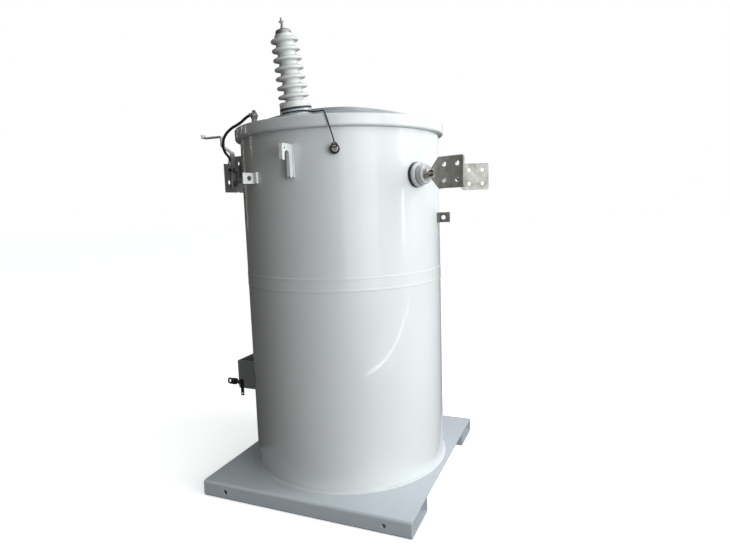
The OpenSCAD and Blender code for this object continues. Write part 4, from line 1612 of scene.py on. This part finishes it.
class TRANSFORMER_OT_stage(Operator):
    """Adds the floor, the lights, the sky and the camera"""

    bl_idname = "transformer.stage"
    bl_label = "Stage"

    def execute(self, context):
        looks = settings("stage")
        shape = bmesh.new()
        bmesh.ops.create_circle(shape, cap_ends=True, radius=30.0, segments=96)
        material, tree, shader = new_material("pale floor")
        coords = object_coords(tree)
        cloud = ramp(tree, noise(tree, coords, 1.2, 3.0), ((0.3, 0), (0.7, 1)))
        colour = tuple(looks.floor_colour)
        pale = mix_colour(tree, cloud, [c * 0.985 for c in colour], colour)
        seen = tree.nodes.new("ShaderNodeLightPath").outputs["Is Camera Ray"]
        base = mix_colour(tree, seen, [c * FLOOR_BOUNCE for c in colour], pale)
        shine = mix_colour(tree, seen, (0, 0, 0), (1, 1, 1))
        feed(tree, shader, Base_Color=base, Emission_Color=shine, Emission_Strength=FLOOR_GLOW, Roughness=0.75)
        floor = object_from("floor", shape, material)

        world = context.scene.world or bpy.data.worlds.new("studio")
        context.scene.world = world
        world.use_nodes = True
        tree = world.node_tree
        tree.nodes.clear()
        out = tree.nodes.new("ShaderNodeOutputWorld")
        coords = tree.nodes.new("ShaderNodeTexCoord").outputs["Generated"]
        sides = []
        for turn, rise, stops in (
            (100, 0.25, ((0.22, 0.0), (0.38, 0.03), (0.55, 0.60), (0.78, 1.0))),
            (160, 0.0, ((0.80, 0.0), (0.88, 1.0))),
        ):
            a = math.radians(turn)
            toward = tree.nodes.new("ShaderNodeVectorMath")
            toward.operation = "DOT_PRODUCT"
            tree.links.new(coords, toward.inputs[0])
            toward.inputs[1].default_value = (math.sin(a), -math.cos(a), rise)
            half = math_node(tree, "MULTIPLY", toward.outputs["Value"], 0.5)
            sides.append(ramp(tree, math_node(tree, "ADD", half, 0.5), stops))
        level = math_node(tree, "MAXIMUM", *sides)
        upright = stretched(tree, coords, (1.0, 1.0, 0.12))
        panes = ramp(tree, noise(tree, upright, 9.0, 3.0, 0.6), ((0.40, 0.45), (0.62, 1.0)))
        level = math_node(tree, "MULTIPLY", level, panes)
        sky = mix_colour(tree, level, (0.03, 0.028, 0.02), (0.95, 0.98, 1.0))
        soft = add_node(tree, "ShaderNodeBackground", Color=sky, Strength=SKY_STRENGTH)
        plain = add_node(tree, "ShaderNodeBackground", Color=(1, 1, 1, 1), Strength=1.0)
        seen = tree.nodes.new("ShaderNodeLightPath").outputs["Is Camera Ray"]
        mixed = tree.nodes.new("ShaderNodeMixShader")
        for value, socket in zip((seen, soft.outputs[0], plain.outputs[0]), mixed.inputs):
            put(tree, value, socket)
        put(tree, mixed.outputs[0], out.inputs[0])

        cool = (0.91, 0.96, 1.0)
        warm = (1.0, 0.98, 0.92)
        lamps = (
            area_light("key", 100, 1.3, 3.2, 0.8, 1.4, 22, cool, aim=(0, 0, 0.3)),
            area_light("front", 60, 1.2, 3.6, 2.2, 2.0, 76, cool, aim=(0, 0, 0.45)),
        )
        for lamp in lamps:
            lamp.visible_glossy = False
        sheen = area_light("sheen", 44, 1.2, 3.6, 2.5, 2.2, 22, cool)
        sheen.visible_diffuse = False
        area_light("glow", 101, 1.4, 3.2, 1.6, 2.2, 3, cool, aim=(0, 0, 0.5))
        area_light("window", 92, 1.5, 2.4, 0.08, 1.8, 3, cool, aim=(0, 0, 1.5))
        area_light("top", 98, 2.8, 2.6, 1.6, 1.2, 34, cool, aim=(0.1, -0.35, 0.0))
        for turn, height, tall, power in ((-87, 1.55, 0.7, 0.5), (-97, 1.75, 0.5, 0.35), (-113, 1.35, 1.3, 0.4)):
            area_light("doorway", turn, height, 3.0, 0.05, tall, power, warm, aim=(0, 0, height))
        streak = area_light("floor streak", 74, 0.012, 2.3, 3.1, 0.04, 4, cool)
        streak.location = (2.25, -0.19, 0.012)
        streak.rotation_euler = (math.pi, 0, math.atan2(1.64, 2.63))
        streak.visible_camera = False

        camera = bpy.data.cameras.new("camera")
        camera.lens = looks.lens
        camera.sensor_width = 36.0
        viewer = bpy.data.objects.new("camera", camera)
        viewer.location = CAMERA_PLACE
        viewer.rotation_euler = Euler([math.radians(a) for a in CAMERA_TURN])
        context.scene.collection.objects.link(viewer)
        context.scene.camera = viewer
        context.scene.view_settings.view_transform = "Standard"
        return {"FINISHED"}


class TRANSFORMER_PT_panel(Panel):
    """Lists the pieces"""

    bl_idname = "TRANSFORMER_PT_panel"
    bl_label = "Transformer"
    bl_space_type = "VIEW_3D"
    bl_region_type = "UI"
    bl_category = "Transformer"

    def draw(self, context):
        for group in SETTINGS:
            box = self.layout.box()
            chosen = getattr(context.scene, "transformer_" + group)
            for key in chosen.__annotations__:
                box.prop(chosen, key)
        for operator in OPERATORS:
            self.layout.operator(operator.bl_idname)


SETTINGS = {
    "cord": CordSizes,
    "paint": PaintLooks,
    "metal": MetalLooks,
    "porcelain": PorcelainSizes,
    "weld": WeldSizes,
    "stage": StageLooks,
}
OPERATORS = [
    TRANSFORMER_OT_stage,
    TRANSFORMER_OT_cords,
    TRANSFORMER_OT_tank,
    TRANSFORMER_OT_base,
    TRANSFORMER_OT_welds,
    TRANSFORMER_OT_cover,
    TRANSFORMER_OT_high_bushing,
    TRANSFORMER_OT_low_bushings,
    TRANSFORMER_OT_spades,
    TRANSFORMER_OT_lugs,
    TRANSFORMER_OT_hangers,
    TRANSFORMER_OT_bracket,
    TRANSFORMER_OT_tabs,
    TRANSFORMER_OT_ground_fittings,
    TRANSFORMER_OT_relief_valve,
    TRANSFORMER_OT_lead_fittings,
]


def register():
    for group in SETTINGS.values():
        bpy.utils.register_class(group)
    for name, group in SETTINGS.items():
        setattr(bpy.types.Scene, "transformer_" + name, PointerProperty(type=group))
    for operator in OPERATORS:
        bpy.utils.register_class(operator)
    bpy.utils.register_class(TRANSFORMER_PT_panel)


def unregister():
    bpy.utils.unregister_class(TRANSFORMER_PT_panel)
    for operator in reversed(OPERATORS):
        bpy.utils.unregister_class(operator)
    for name in SETTINGS:
        delattr(bpy.types.Scene, "transformer_" + name)
    for group in reversed(list(SETTINGS.values())):
        bpy.utils.unregister_class(group)


def main():
    register()
    for operator in OPERATORS:
        family, name = operator.bl_idname.split(".")
        getattr(getattr(bpy.ops, family), name)()


if __name__ == "__main__":
    main()
